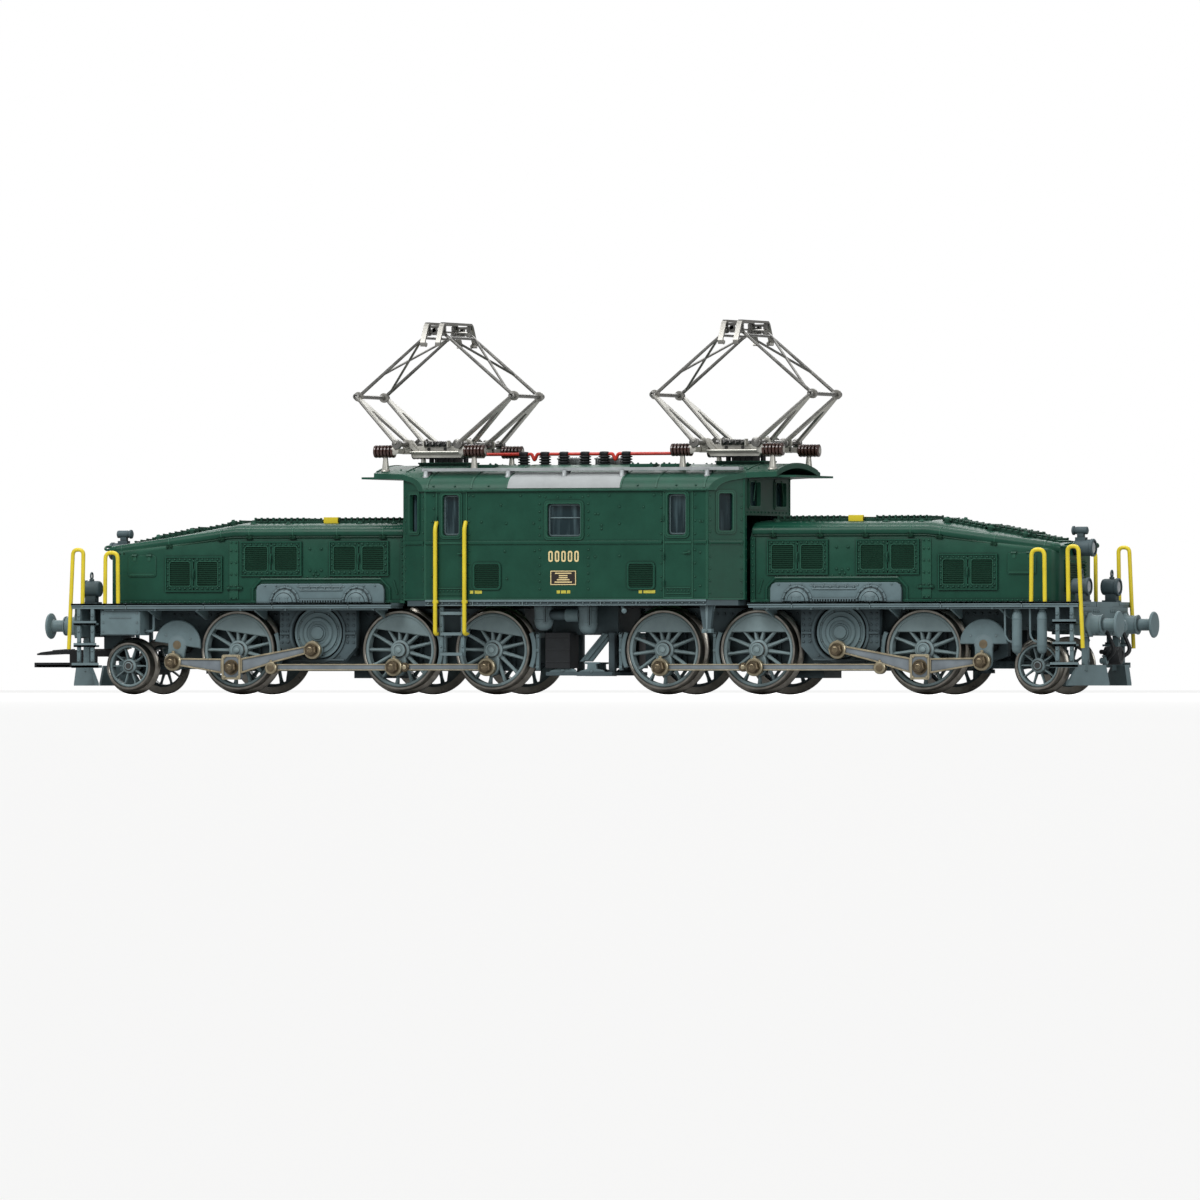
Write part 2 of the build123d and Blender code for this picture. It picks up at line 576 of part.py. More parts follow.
def coupler(end):
    """Coupler head with two tongues on a shank that swings about an upright screw."""
    x = lambda value: end * value
    head = block(x(101.4), x(110.2), -1.6, 1.6, 7.4, 8.8) + rod_z(x(101.4), 0, 7.4, 8.8, 1.9)
    head += block(x(106.8), x(110.2), -3.2, 3.2, 5.3, 8.8)
    head += block(x(110.1), x(118.1), -3.0, 3.0, 5.3, 6.3)
    tongue = outline([(x(110.1), 7.9), (x(110.1), 8.8), (x(117.6), 8.3), (x(117.6), 7.9)])
    head += across(tongue, -2.4, 2.4)
    return head - rod_z(x(101.4), 0, 7, 9, 0.9 + RUNNING_GAP)


def brake_hoses(end):
    """Draw hook, two moulded brake hoses and their coupling heads on the buffer beam."""
    x = lambda value: end * value
    hook = rod_x(x(BOARD_END_X), x(109.2), 0, 12.6, 0.7)
    pieces = [hook + block(x(107.6), x(109.2), -0.6, 0.6, 12.6, 14.6)]
    for y in (-4.6, 4.6):
        hose = bent_wire([(x(BOARD_END_X), y, 12.4), (x(106.6), y, 12.4), (x(108.4), y, 8.4),
                          (x(106.2), y * 0.72, 6.6)], 0.42, 0.7)
        hose += rod_x(x(104.9), x(106.4), y * 0.72, 6.5, 0.75)
        pieces.append(hose)
    return pieces


# ---- drive in the right-hand bonnet ----
def motor():
    can = rod_x(39.2, 54.4, 0, MOTOR_Z, 6.0) - rod_x(40.2, 53.4, 0, MOTOR_Z, 5.2)
    return can - rod_x(38, 56, 0, MOTOR_Z, 0.8 + RUNNING_GAP)


def motor_shaft():
    """Armature, worm and flywheel on one shaft."""
    shaft = rod_x(38.0, 70.0, 0, MOTOR_Z, 0.8)
    shaft += rod_x(41.5, 52.0, 0, MOTOR_Z, 4.7)
    shaft += rod_x(56.6, 63.6, 0, MOTOR_Z, 1.55)
    return shaft + rod_x(64.8, 69.6, 0, MOTOR_Z, 5.0)


def idler_gear():
    rest_angle = centre_line_angle() + 180 + 180 / IDLER_TEETH
    gear = across(gear_profile(IDLER_TEETH, rest_angle), -1.2, 1.2)
    gear = Pos(idler_x(), 0, IDLER_Z) * gear
    return gear + rod_y(idler_x(), IDLER_Z, -4.4, 4.4, 0.8)


# ---- cab ----
def cab_plan(inset):
    """Eight-cornered plan of the cab."""
    side_x = CAB_SIDE_X - inset * 0.31
    end_y = CAB_END_Y - inset * 0.52
    corner = [(side_x, CAB_Y - inset), (CAB_END_X - inset, end_y)]
    points = corner + [(px, -py) for px, py in reversed(corner)]
    return points + [(-px, -py) for px, py in points]


def roof_section(inset):
    """Closed arch under the roof: eaves, curved edge and crown."""
    eave = (ROOF_EDGE_Y - inset, CAB_EAVE_Z)
    edge = (14.2 - inset * 0.5, 42.3 - inset)
    bend = (ROOF_EDGE_Y - 0.75 - inset * 0.8, 41.15 - inset * 0.7)
    wire = Polyline((-eave[0], eave[1]), (-eave[0], 10.0), (eave[0], 10.0), eave)
    wire += ThreePointArc(eave, bend, edge)
    wire += ThreePointArc(edge, (0, ROOF_CROWN_Z - inset), (-edge[0], edge[1]))
    wire += ThreePointArc((-edge[0], edge[1]), (-bend[0], bend[1]), (-eave[0], eave[1]))
    plane = Plane(origin=(-60, 0, 0), x_dir=(0, 1, 0), z_dir=(1, 0, 0))
    return extrude(plane * make_face(wire), amount=120)


# near-side windows: left, right, bottom and top; the far side has them turned about the upright axis
SIDE_WINDOWS = ((-25.8, -21.9, 30.6, 38.9), (-4.0, 3.4, 30.3, 37.1), (21.0, 25.2, 30.6, 38.9))


def corner_window(x_sign, y_sign, width, bottom_z, top_z, inset, depth):
    """Block through, or pane behind, one slanted corner panel."""
    angle = math.degrees(math.atan2(CAB_Y - CAB_END_Y, CAB_END_X - CAB_SIDE_X))
    middle = Vector((CAB_SIDE_X + CAB_END_X) / 2, (CAB_Y + CAB_END_Y) / 2)
    normal = Vector(math.sin(math.radians(angle)), math.cos(math.radians(angle)))
    spot = middle - normal * (inset + depth / 2)
    shape = Pos(x_sign * spot.X, y_sign * spot.Y, (bottom_z + top_z) / 2)
    return shape * Rot(0, 0, -x_sign * y_sign * angle) * Box(width, depth, top_z - bottom_z)


def cab_shell():
    """Cab walls with window openings and an arch at each end for the bonnet."""
    shell = upright(cab_plan(0), CAB_BASE_Z, 46) - upright(cab_plan(WALL), CAB_BASE_Z, 46)
    below_eaves = block(-60, 60, -20, 20, 10, CAB_EAVE_Z - 0.02)
    shell &= roof_section(WALL + 0.02) + below_eaves
    for x0, x1, z0, z1 in SIDE_WINDOWS:
        shell -= block(x0, x1, -18, -14, z0, z1)
        shell -= block(-x0, -x1, 18, 14, z0, z1)
    for x_sign in (-1, 1):
        shell -= block(x_sign * 34, x_sign * 36, -10.95, 10.95, CAB_BASE_Z - 1, 34.6)
        for y_sign in (-1, 1):
            shell -= block(x_sign * 34, x_sign * 36, y_sign * 4.0, y_sign * 10.0, 36.2, 41.2)
            shell -= corner_window(x_sign, y_sign, 3.1, 31.4, 39.0, -1, 4)
    return shell


def cab_windows():
    """Clear panes against the inside of the walls."""
    panes = []
    inner = CAB_Y - WALL
    for x0, x1, z0, z1 in SIDE_WINDOWS:
        for sign in (-1, 1):
            panes.append(block(-sign * (x0 - 0.5), -sign * (x1 + 0.5), sign * inner, sign * (inner - 0.4),
                               z0 - 0.5, z1 + 0.3))
    for x_sign in (-1, 1):
        inner_x = CAB_END_X - WALL
        for y_sign in (-1, 1):
            panes.append(block(x_sign * inner_x, x_sign * (inner_x - 0.4), y_sign * 3.6, y_sign * 10.3,
                               35.8, 41.5))
            panes.append(corner_window(x_sign, y_sign, 3.7, 31.0, 39.3, WALL, 0.4))
    return panes


def roof():
    """Arched roof shell with end overhangs and a flat awning over each end window."""
    corner = [(29.6, ROOF_EDGE_Y), (35.9, 12.6), (ROOF_OVERHANG_X, 11.9)]
    points = corner + [(px, -py) for px, py in reversed(corner)]
    plan = points + [(-px, -py) for px, py in points]
    shell = (roof_section(0) - roof_section(WALL)) & upright(plan, CAB_EAVE_Z, 46)
    for sign in (-1, 1):
        shell += block(sign * 35.5, sign * 36.2, -11.2, 11.2, 41.9, 42.95)
        shell += upright([(sign * 35.5, -11.8), (sign * AWNING_X, -10.2), (sign * AWNING_X, 10.2),
                          (sign * 35.5, 11.8)], 41.9, 42.3)
    return shell


def roof_walkways():
    """Grating planks along both sides of the roof on small posts."""
    pieces = []
    for side in (-1, 1):
        x0, x1 = sorted((-side * -30.9, -side * 35.0))
        plank = block(x0, x1, side * 11.7, side * 14.3, 43.3, 43.9)
        for post_x in (-30.0, -12.8, -1.1, 10.9, 28.5):
            plank += rod_z(-side * post_x, side * 13.0, 42.0, 43.4, 0.45)
        pieces.append(plank - roof_section(0))
    return pieces


def bridge_frame():
    """Floor of the cab with sole bars, bogie pivots, the underfloor equipment and hanger brackets."""
    floor = upright(cab_plan(0), SOLEBAR_BOTTOM_Z, CAB_BASE_Z)
    for x_sign in (-1, 1):
        floor -= block(x_sign * 34.4, x_sign * 36, -20, 20, 17, 19)
        floor += block(x_sign * 34.0, x_sign * BOGIE_PIVOT_X, -3.4, 3.4, SOLEBAR_BOTTOM_Z, CAB_BASE_Z)
        floor += rod_z(x_sign * BOGIE_PIVOT_X, 0, SOLEBAR_BOTTOM_Z, CAB_BASE_Z, 3.4)
        floor -= rod_z(x_sign * BOGIE_PIVOT_X, 0, 17, 19, 1.5 + RUNNING_GAP)
        for y_sign in (-1, 1):
            floor -= block(x_sign * 8.6, x_sign * 33.0, y_sign * 4.6, y_sign * 12.9, 17, 19)
            floor += rod_z(x_sign * 20.0, y_sign * 3.6, CAB_BASE_Z, 20.2, 0.9)
    # underfloor: a central trough with reservoirs at both sides and lower stay plates
    floor += block(-6.8, 6.8, -6.0, 6.0, 11.6, SOLEBAR_BOTTOM_Z)
    for sign in (-1, 1):
        for tank_x, tank_low in ((-7.0, 12.4), (2.2, 11.7)):
            floor += rod_z(-sign * tank_x, sign * 10.2, tank_low + 1.75, SOLEBAR_BOTTOM_Z + 0.1, 1.75)
            floor += Pos(-sign * tank_x, sign * 10.2, tank_low + 1.75) * Sphere(1.74)
        floor += rod_x(sign * 6.5, -sign * 2.0, sign * 10.2, 15.5, 1.0)
        floor += block(sign * 1.9, sign * 6.8, sign * 5.0, sign * 9.6, 5.2, 12.0)
        floor += block(-sign * 6.9, sign * 6.9, sign * 5.4, sign * 9.4, 3.7, 4.4)
        floor += block(-sign * 6.6, -sign * 5.4, sign * 6.2, sign * 7.4, 4.0, 12.0)
        floor += block(sign * 4.4, sign * 5.6, sign * 6.2, sign * 7.4, 4.0, 6.0)
        bracket = outline([(-sign * 27.4, 17.3), (-sign * 30.2, 17.3), (-sign * 29.6, 12.3),
                           (-sign * 28.2, 12.3)])
        floor += across(bracket, sign * 14.6, sign * 15.6)
    return floor


def cab_steps():
    """Ladder under each cab door."""
    pieces = []
    for sign in (-1, 1):
        ladder = Part()
        for post_x in (-26.1, -21.6):
            ladder += block(-sign * (post_x - 0.35), -sign * (post_x + 0.35), sign * 15.3, sign * 16.2,
                            7.5, SOLEBAR_BOTTOM_Z)
        for rung_z in (7.6, 11.5, 15.5):
            ladder += block(-sign * -26.2, -sign * -21.5, sign * 15.3, sign * 16.5, rung_z, rung_z + 0.5)
        pieces.append(ladder)
    return pieces


def cab_handrails():
    """Two long grab wires beside each cab door."""
    pieces = []
    for sign in (-1, 1):
        for rail_x in (-26.9, -20.8):
            x = -sign * rail_x
            points = [(x, sign * 15.7, 11.8), (x, sign * 17.2, 11.8), (x, sign * 17.2, 32.2),
                      (x, sign * 16.2, 33.4)]
            pieces.append(bent_wire(points, 0.42, 0.55))
    return pieces


def circuit_board():
    """Control board on four stand-offs, with a decoder, a capacitor and a socket."""
    board = block(-23, 23, -9.5, 9.5, 20.2, 21.2)
    board += block(-9, 6, -6, 6, 21.2, 23.6)
    board += rod_z(14.5, 0, 21.2, 27.0, 3.0)
    return board + block(-20, -13, -7.5, 7.5, 21.2, 23.0)


# ---- roof equipment ----
BUS_INSULATOR_XS = (-15.2, -10.8, -6.8, -2.4, 1.6, 6.2)
BUS_TOP_Z = 46.75


def ribbed_post(x, y, z0, z1, core_r, rib_r, ribs):
    """Upright insulator with evenly spaced ribs."""
    post = rod_z(x, y, z0, z1, core_r)
    pitch = (z1 - z0) / ribs
    for number in range(ribs):
        middle = z0 + pitch * (number + 0.5)
        post += rod_z(x, y, middle - pitch * 0.27, middle + pitch * 0.27, rib_r)
    return post


def roof_insulators():
    return [ribbed_post(x, 0, ROOF_CROWN_Z, BUS_TOP_Z - 0.35, 0.75, 1.15, 3) for x in BUS_INSULATOR_XS]


def roof_busbar():
    """High-voltage wire over the insulators, with two dips to the roof equipment."""
    points = [(5.2 - PANTO_X, 0, BUS_TOP_Z), (-14.2, 0, BUS_TOP_Z), (-13.0, 0, 45.7),
              (-11.8, 0, BUS_TOP_Z), (2.6, 0, BUS_TOP_Z), (3.9, 0, 45.7), (5.2, 0, BUS_TOP_Z),
              (19.2, 0, BUS_TOP_Z)]
    return bent_wire(points, 0.35, 0.3)


def roof_equipment():
    """Lightning arrester and switch boxes on the roof, and a drive box under each pantograph."""
    pieces = [block(-9.0, -3.9, 2.2, 5.8, 44.0, 46.0), block(-1.2, 4.6, 2.2, 5.8, 44.0, 46.0)]
    for sign in (-1, 1):
        pieces.append(block(sign * PANTO_X - 5.0, sign * PANTO_X + 5.0, -3.2, 3.2, 44.2, 46.2))
    return [piece - roof_section(0) for piece in pieces]


# ---- pantographs ----
def pantograph_base(centre):
    """Base frame with the shaft bearings, and the tapered posts that carry the insulators."""
    pieces = []
    frame = Part()
    for side in (-1, 1):
        frame += block(centre - 7.0, centre + 7.0, side * 5.5, side * 6.1, 46.8, 49.5)
        for end in (-1, 1):
            frame += block(centre + end * 4.4, centre + end * 5.2, -5.6, 5.6, 46.8, 47.5)
            frame += block(centre + end * 7.0, centre + end * 7.4, side * 5.5, side * 10.4, 46.8, 47.9)
            post = Pos(centre + end * 9.3, side * PANTO_INSULATOR_Y, 44.85) * Cone(0.95, 0.55, 3.1)
            post -= rod_x(centre + end * 8, centre + end * 11, side * PANTO_INSULATOR_Y,
                          PANTO_INSULATOR_Z, PANTO_INSULATOR_R)
            pieces.append(post - roof_section(0))
    for end in (-1, 1):
        frame -= rod_y(centre + end * PANTO_BASE_DX, PANTO_BASE_Z, -7, 7, 0.5 + RUNNING_GAP)
    frame -= block(centre - 3.4, centre + 3.4, -7, 7, 48.4, 50)
    return [frame] + pieces


def pantograph_insulators(centre):
    """Four lying ribbed insulators."""
    pieces = []
    for side in (-1, 1):
        for end in (-1, 1):
            x0 = centre + end * 7.4
            x1 = centre + end * 11.7
            post = rod_x(x0, x1, side * PANTO_INSULATOR_Y, PANTO_INSULATOR_Z, 0.8)
            ribs = 6
            pitch = (x1 - x0) / ribs
            for number in range(ribs):
                middle = x0 + pitch * (number + 0.5)
                post += rod_x(middle - pitch * 0.3, middle + pitch * 0.3, side * PANTO_INSULATOR_Y,
                              PANTO_INSULATOR_Z, PANTO_INSULATOR_R)
            pieces.append(post)
    return pieces


def lower_arm(centre, end):
    """Shaft, two flat V forks and the knee tube. end is -1 or 1 for the side it leans to."""
    base_x = centre + end * PANTO_BASE_DX
    knee_x = centre + end * PANTO_KNEE_DX
    arm = rod_y(base_x, PANTO_BASE_Z, -11.4, 11.4, 0.5) + rod_y(knee_x, PANTO_KNEE_Z, -8.2, 8.2, 0.4)
    for side in (-1, 1):
        for foot_y in (4.0, 11.0):
            arm += blade((base_x, side * foot_y, PANTO_BASE_Z), (knee_x, side * 7.6, PANTO_KNEE_Z), 1.0, 0.4)
    return arm


def upper_arm(centre, end):
    """Light tube truss from the knee to the head, with eyes at the knee."""
    knee_x = centre + end * PANTO_KNEE_DX
    top_x = centre + end * PANTO_TOP_DX
    knee = Vector(knee_x, 0, PANTO_KNEE_Z)
    top = Vector(top_x, 0, PANTO_TOP_Z)
    low = knee + (top - knee) * 0.05
    high = knee + (top - knee) * 0.94
    arm = Part()
    for side in (-1, 1):
        offset = Vector(0, side * 6.55, 0)
        arm += bar(tuple(low + offset), tuple(high + offset), 0.33)
        arm += rod_y(knee_x, PANTO_KNEE_Z, side * 6.25, side * 6.85, 0.85)
        arm += rod_y(top_x, PANTO_TOP_Z, side * 6.25, side * 6.85, 0.7)
        arm += bar(tuple(low + offset), tuple(high - offset), 0.28)
        arm += blade(tuple(high + offset), tuple(top + offset), 0.7, 0.5)
    for share in (0.12, 0.92):
        spot = knee + (top - knee) * share
        arm += rod_y(spot.X, spot.Z, -6.6, 6.6, 0.3)
    arm -= rod_y(knee_x, PANTO_KNEE_Z, -7, 7, 0.4 + RUNNING_GAP)
    return arm - rod_y(top_x, PANTO_TOP_Z, -7, 7, 0.35 + RUNNING_GAP)


def collector_head(centre):
    """Two contact strips with down-turned horns on end brackets; pins for one upper arm."""
    head = Part()
    top = PANTO_STRIP_TOP_Z
    strip = [(-9.6, 67.9), (-7.4, top), (7.4, top), (9.6, 67.9), (9.2, 67.7), (7.2, top - 0.4),
             (-7.2, top - 0.4), (-9.2, 67.7)]
    for end in (-1, 1):
        plane = Plane(origin=(centre + end * 1.6 - 0.5, 0, 0), x_dir=(0, 1, 0), z_dir=(1, 0, 0))
        head += extrude(plane * outline(strip), amount=1.0)
    for side in (-1, 1):
        head += block(centre - 2.1, centre + 2.1, side * 7.0, side * 7.35, 69.7, top - 0.3)
        head += rod_y(centre - PANTO_TOP_DX, PANTO_TOP_Z, side * 5.9, side * 7.1, 0.35)
    return head


# ---- writing the nodes ----
ENDS = (("left", -1, LEFT_CRANK_PHASE), ("right", 1, RIGHT_CRANK_PHASE))

for name, end, phase in ENDS:
    save(f"hood_{name}", hood(end))
    save(f"running_board_{name}", running_board(end))
    save(f"bogie_frame_{name}", *bogie_frame(end, powered=end > 0))
    save(f"buffers_{name}", *buffers(end))
    save(f"lamps_{name}", *lamps(end))
    save(f"end_handrails_{name}", *end_handrails(end))
    save(f"brake_gear_{name}", *brake_gear(end))
    for number, axle_x in enumerate(DRIVER_XS, start=1):
        save(f"wheelset_{name}_{number}", *driving_wheelset(end * axle_x, phase))
    save(f"jackshaft_{name}", jackshaft(end * JACKSHAFT_X, phase, geared=end > 0))
    save(f"blind_shaft_{name}", blind_shaft(end * BLIND_X, phase))
    save(f"rods_{name}_near", *rod_pair(end, -1, phase))
    save(f"rods_{name}_far", *rod_pair(end, 1, phase + FAR_SIDE_LEAD))
    save(f"pony_truck_{name}", pony_truck(end))
    save(f"pony_wheelset_{name}", *carrying_wheelset(end * CARRIER_X))
    centre = end * PANTO_X
    for arm_name, lean in (("rear", -1), ("front", 1)):
        save(f"pantograph_{name}_lower_{arm_name}", lower_arm(centre, lean))
        save(f"pantograph_{name}_upper_{arm_name}", upper_arm(centre, lean))
    save(f"pantograph_{name}_head", collector_head(centre))

save("coupler", coupler(-1))
save("brake_hoses", *brake_hoses(1))
save("motor", motor())
save("motor_shaft", motor_shaft())
save("idler_gear", idler_gear())
save("cab_shell", cab_shell())
save("cab_windows", *cab_windows())
save("roof", roof())
save("roof_walkways", *roof_walkways())
save("bridge_frame", bridge_frame())
save("cab_steps", *cab_steps())
save("cab_handrails", *cab_handrails())
save("circuit_board", circuit_board())
save("roof_insulators", *roof_insulators())
save("roof_busbar", roof_busbar())
save("roof_equipment", *roof_equipment())
save("pantograph_bases", *pantograph_base(-PANTO_X), *pantograph_base(PANTO_X))
save("pantograph_insulators", *pantograph_insulators(-PANTO_X), *pantograph_insulators(PANTO_X))
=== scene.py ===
import math

import bmesh
import bpy
from mathutils import Matrix, Vector


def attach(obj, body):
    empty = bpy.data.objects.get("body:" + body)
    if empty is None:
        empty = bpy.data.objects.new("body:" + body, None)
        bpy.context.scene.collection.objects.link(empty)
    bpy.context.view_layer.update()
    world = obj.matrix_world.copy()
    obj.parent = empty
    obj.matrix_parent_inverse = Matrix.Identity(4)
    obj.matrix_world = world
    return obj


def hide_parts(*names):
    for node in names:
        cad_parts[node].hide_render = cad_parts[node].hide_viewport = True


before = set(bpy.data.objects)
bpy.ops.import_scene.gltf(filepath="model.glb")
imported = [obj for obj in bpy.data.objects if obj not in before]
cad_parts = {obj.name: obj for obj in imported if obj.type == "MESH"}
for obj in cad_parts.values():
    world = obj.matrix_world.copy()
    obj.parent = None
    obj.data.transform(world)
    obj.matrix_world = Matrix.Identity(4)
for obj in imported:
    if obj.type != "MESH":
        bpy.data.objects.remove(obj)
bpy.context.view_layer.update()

MM = 0.001
NEAR, FAR = -1, 1
BOGIES = (("left", -1, 8.0), ("right", 1, 0.0))      # name, direction along X, crank phase in degrees
FAR_LEAD = 90.0                                       # the far side's cranks run ahead by this angle
DRIVERS = (71.4, 37.3, 17.8)                          # X of the driving axles
DRIVER_Z = 8.65
JACK = (54.4, 12.0)
BLIND = (83.9, 9.7)
CARRIER = (94.6, 5.6)                                 # JACK, BLIND and CARRIER: X and Z of a shaft or axle
THROW = 3.35                                          # crank throw
BEAM_X, DECK_Z, HOOD_Y = 104.7, 17.8, 10.3            # face of the beam, top of the deck, wall of the bonnet
PANTO_X, HINGE_Z, KNEE_Z = 31.0, 48.7, 58.05
MOTOR_Z = 25.0
ALONG, ACROSS, UP = (1, 0, 0), (0, 1, 0), (0, 0, 1)
CAB_SIDES = ((NEAR, Matrix.Identity(4)), (FAR, Matrix.Rotation(math.pi, 4, "Z")))     # a half turn apart


# ---------------------------------------------------------------- mesh building, in millimetres
def unit(v):
    """The same direction with length 1."""
    v = Vector(v)
    return v / v.length


def bent(points, radius, steps=6):
    """Polyline with every inner corner rounded."""
    pts = [Vector(p) for p in points]
    out = [pts[0]]
    for a, b, c in zip(pts, pts[1:], pts[2:]):
        reach = min(radius, (a - b).length * 0.48, (c - b).length * 0.48)
        p, q = b + unit(a - b) * reach, b + unit(c - b) * reach
        for k in range(steps + 1):
            t = k / steps
            out.append(p * (1 - t) ** 2 + b * 2 * t * (1 - t) + q * t * t)
    out.append(pts[-1])
    return out


def inset(loop, distance):
    """Offset a closed 2-D outline inwards."""
    area = sum(a[0] * b[1] - b[0] * a[1] for a, b in zip(loop, loop[1:] + loop[:1]))
    turn = 1 if area > 0 else -1
    out = []
    for a, b, c in zip(loop[-1:] + loop[:-1], loop, loop[1:] + loop[:1]):
        u = Vector((b[0] - a[0], b[1] - a[1])).normalized()
        v = Vector((c[0] - b[0], c[1] - b[1])).normalized()
        n, m = Vector((-u.y, u.x)) * turn, Vector((-v.y, v.x)) * turn
        mid = n + m
        mid = mid / max(0.35, mid.dot(n))
        out.append((b[0] + mid.x * distance, b[1] + mid.y * distance))
    return out


def soft_rect(u0, u1, v0, v1, r=0.0, steps=3):
    """Rectangle outline with rounded corners."""
    if r <= 0:
        return [(u0, v0), (u1, v0), (u1, v1), (u0, v1)]
    out = []
    for cu, cv, start in ((u1 - r, v0 + r, -90), (u1 - r, v1 - r, 0), (u0 + r, v1 - r, 90),
                          (u0 + r, v0 + r, 180)):
        for k in range(steps + 1):
            a = math.radians(start + 90 * k / steps)
            out.append((cu + r * math.cos(a), cv + r * math.sin(a)))
    return out


def arc(cu, cv, r, start, end, steps):
    """Points on an arc; angles in degrees."""
    return [(cu + r * math.cos(math.radians(start + (end - start) * k / steps)),
             cv + r * math.sin(math.radians(start + (end - start) * k / steps))) for k in range(steps + 1)]


PLANES = {
    "xz": lambda u, v, w: (u, w, v),
    "yz": lambda u, v, w: (w, u, v),
    "xy": lambda u, v, w: (u, v, w),
}


def ring_step(k, n):
    """Cosine and sine of step k of n round a circle."""
    return math.cos(2 * math.pi * k / n), math.sin(2 * math.pi * k / n)


class Shape:
    """Collects faces and becomes one piece."""

    def __init__(self):
        self.verts, self.faces, self.paints = [], [], []
        self.paint = 0
        self.m = Matrix.Identity(4)
        self.flip_x, self.flip_y = 1, 1

    def at(self, m=None):
        """Place what is added from now on by a matrix; none means where it stands."""
        self.m = m or Matrix.Identity(4)
        return self

    def flip(self, flip_x=1, flip_y=1):
        """Mirror what is added from now on; 1 or -1 along X and along Y."""
        self.flip_x, self.flip_y = flip_x, flip_y
        return self

    def sides(self, flip_x=1):
        """Loop over the near and the far side; what is added is mirrored to that side."""
        for side in (NEAR, FAR):
            self.flip(flip_x, side)
            yield side

    def mirrored(self, p):
        """The point on the side that flip chose."""
        return Vector((p[0] * self.flip_x, p[1] * self.flip_y, p[2]))

    def add(self, verts, faces):
        """Vertices where the placing matrix puts them, and faces that count from the first of them."""
        base = len(self.verts)
        self.verts += [self.m @ Vector(p) for p in verts]
        self.faces += [[i + base for i in f] for f in faces]
        self.paints += [self.paint] * len(faces)

    def skin(self, rings, caps=True, loop=False, flip=True):
        """Faces between closed rings of equal length; flip=False is for rings that are mirrored already."""
        n = len(rings[0])
        faces = []
        spans = len(rings) if loop else len(rings) - 1
        for i in range(spans):
            j = (i + 1) % len(rings)
            faces += [[i * n + k, i * n + (k + 1) % n, j * n + (k + 1) % n, j * n + k] for k in range(n)]
        if caps and not loop:
            faces += [list(range(n))[::-1], [(len(rings) - 1) * n + k for k in range(n)]]
        self.add([self.mirrored(p) if flip else p for ring in rings for p in ring], faces)

    def box(self, *corners):
        """Boxes, each given as x0, x1, y0, y1, z0, z1."""
        for k in range(0, len(corners), 6):
            x0, x1, y0, y1, z0, z1 = corners[k:k + 6]
            self.skin([[(x, y0, z0), (x, y1, z0), (x, y1, z1), (x, y0, z1)] for x in (x0, x1)])

    def prism(self, loop, plane, a, b, chamfer=0.0):
        """Outline pushed from a to b; chamfer breaks the edge at b."""
        place = PLANES[plane]
        rings = [[place(u, v, a) for u, v in loop]]
        if chamfer:
            back = b - math.copysign(chamfer, b - a)
            rings.append([place(u, v, back) for u, v in loop])
            rings.append([place(u, v, b) for u, v in inset(loop, chamfer)])
        else:
            rings.append([place(u, v, b) for u, v in loop])
        self.skin(rings)

    def hollow(self, outer, inner, plane, a, b):
        """Ring between two outlines of equal length, pushed from a to b."""
        place = PLANES[plane]
        self.skin([[place(u, v, a) for u, v in outer], [place(u, v, b) for u, v in outer],
                   [place(u, v, b) for u, v in inner], [place(u, v, a) for u, v in inner]], loop=True)

    def turn(self, profile, origin, axis, n=24, closed=False):
        """Revolve (radius, height) points about an axis; closed makes a ring."""
        axis = unit(self.mirrored(axis))
        side = unit(axis.orthogonal())
        up = axis.cross(side)
        origin = self.mirrored(origin)
        rings = []
        for r, h in profile:
            r = max(r, 0.004)
            steps = [ring_step(k, n) for k in range(n)]
            rings.append([origin + axis * h + (side * c + up * s) * r for c, s in steps])
        self.skin(rings, caps=not closed, loop=closed, flip=False)

    def rod(self, p, q, r, n=12, ease=0.0):
        """Round bar from p to q; ease breaks its end edges."""
        p, q = Vector(p), Vector(q)
        length = (q - p).length
        if ease:
            self.turn([(r - ease, 0), (r, ease), (r, length - ease), (r - ease, length)], p, q - p, n)
        else:
            self.turn([(r, 0), (r, length)], p, q - p, n)

    def tube(self, points, r, n=10, loop=False):
        """Round wire through the points."""
        pts = [self.mirrored(p) for p in points]
        count = len(pts)
        rings = []
        ref = None
        for i, p in enumerate(pts):
            a = pts[i - 1] if i or loop else p
            b = pts[(i + 1) % count] if i < count - 1 or loop else p
            t = unit(b - a)
            ref = t.orthogonal() if ref is None else ref - t * ref.dot(t)
            ref = unit(ref)
            other = t.cross(ref)
            rr = r[i] if isinstance(r, (list, tuple)) else r
            steps = [ring_step(k, n) for k in range(n)]
            rings.append([p + (ref * c + other * s) * rr for c, s in steps])
        self.skin(rings, caps=not loop, loop=loop, flip=False)

    def flat(self, p, q, width, thick, facing=(0, 1, 0)):
        """Flat bar from p to q whose broad side looks along facing."""
        p, q = Vector(p), Vector(q)
        side = unit((q - p).cross(Vector(facing))) * width / 2
        deep = unit(facing) * thick / 2
        self.skin([[c + side + deep, c - side + deep, c - side - deep, c + side - deep] for c in (p, q)])

    def rivet(self, at, normal, r=0.15, n=7):
        """Domed rivet head, drawn larger than r so that it shows at this scale."""
        r *= 1.55
        self.turn([(r, -0.03), (r * 0.96, r * 0.4), (r * 0.64, r * 0.82), (r * 0.12, r)], at, normal, n)

    def rivets(self, p, q, count, normal, r=0.15):
        """Evenly spaced rivets from p to q."""
        p, q = Vector(p), Vector(q)
        for k in range(count):
            self.rivet(p.lerp(q, k / max(1, count - 1)), normal, r)

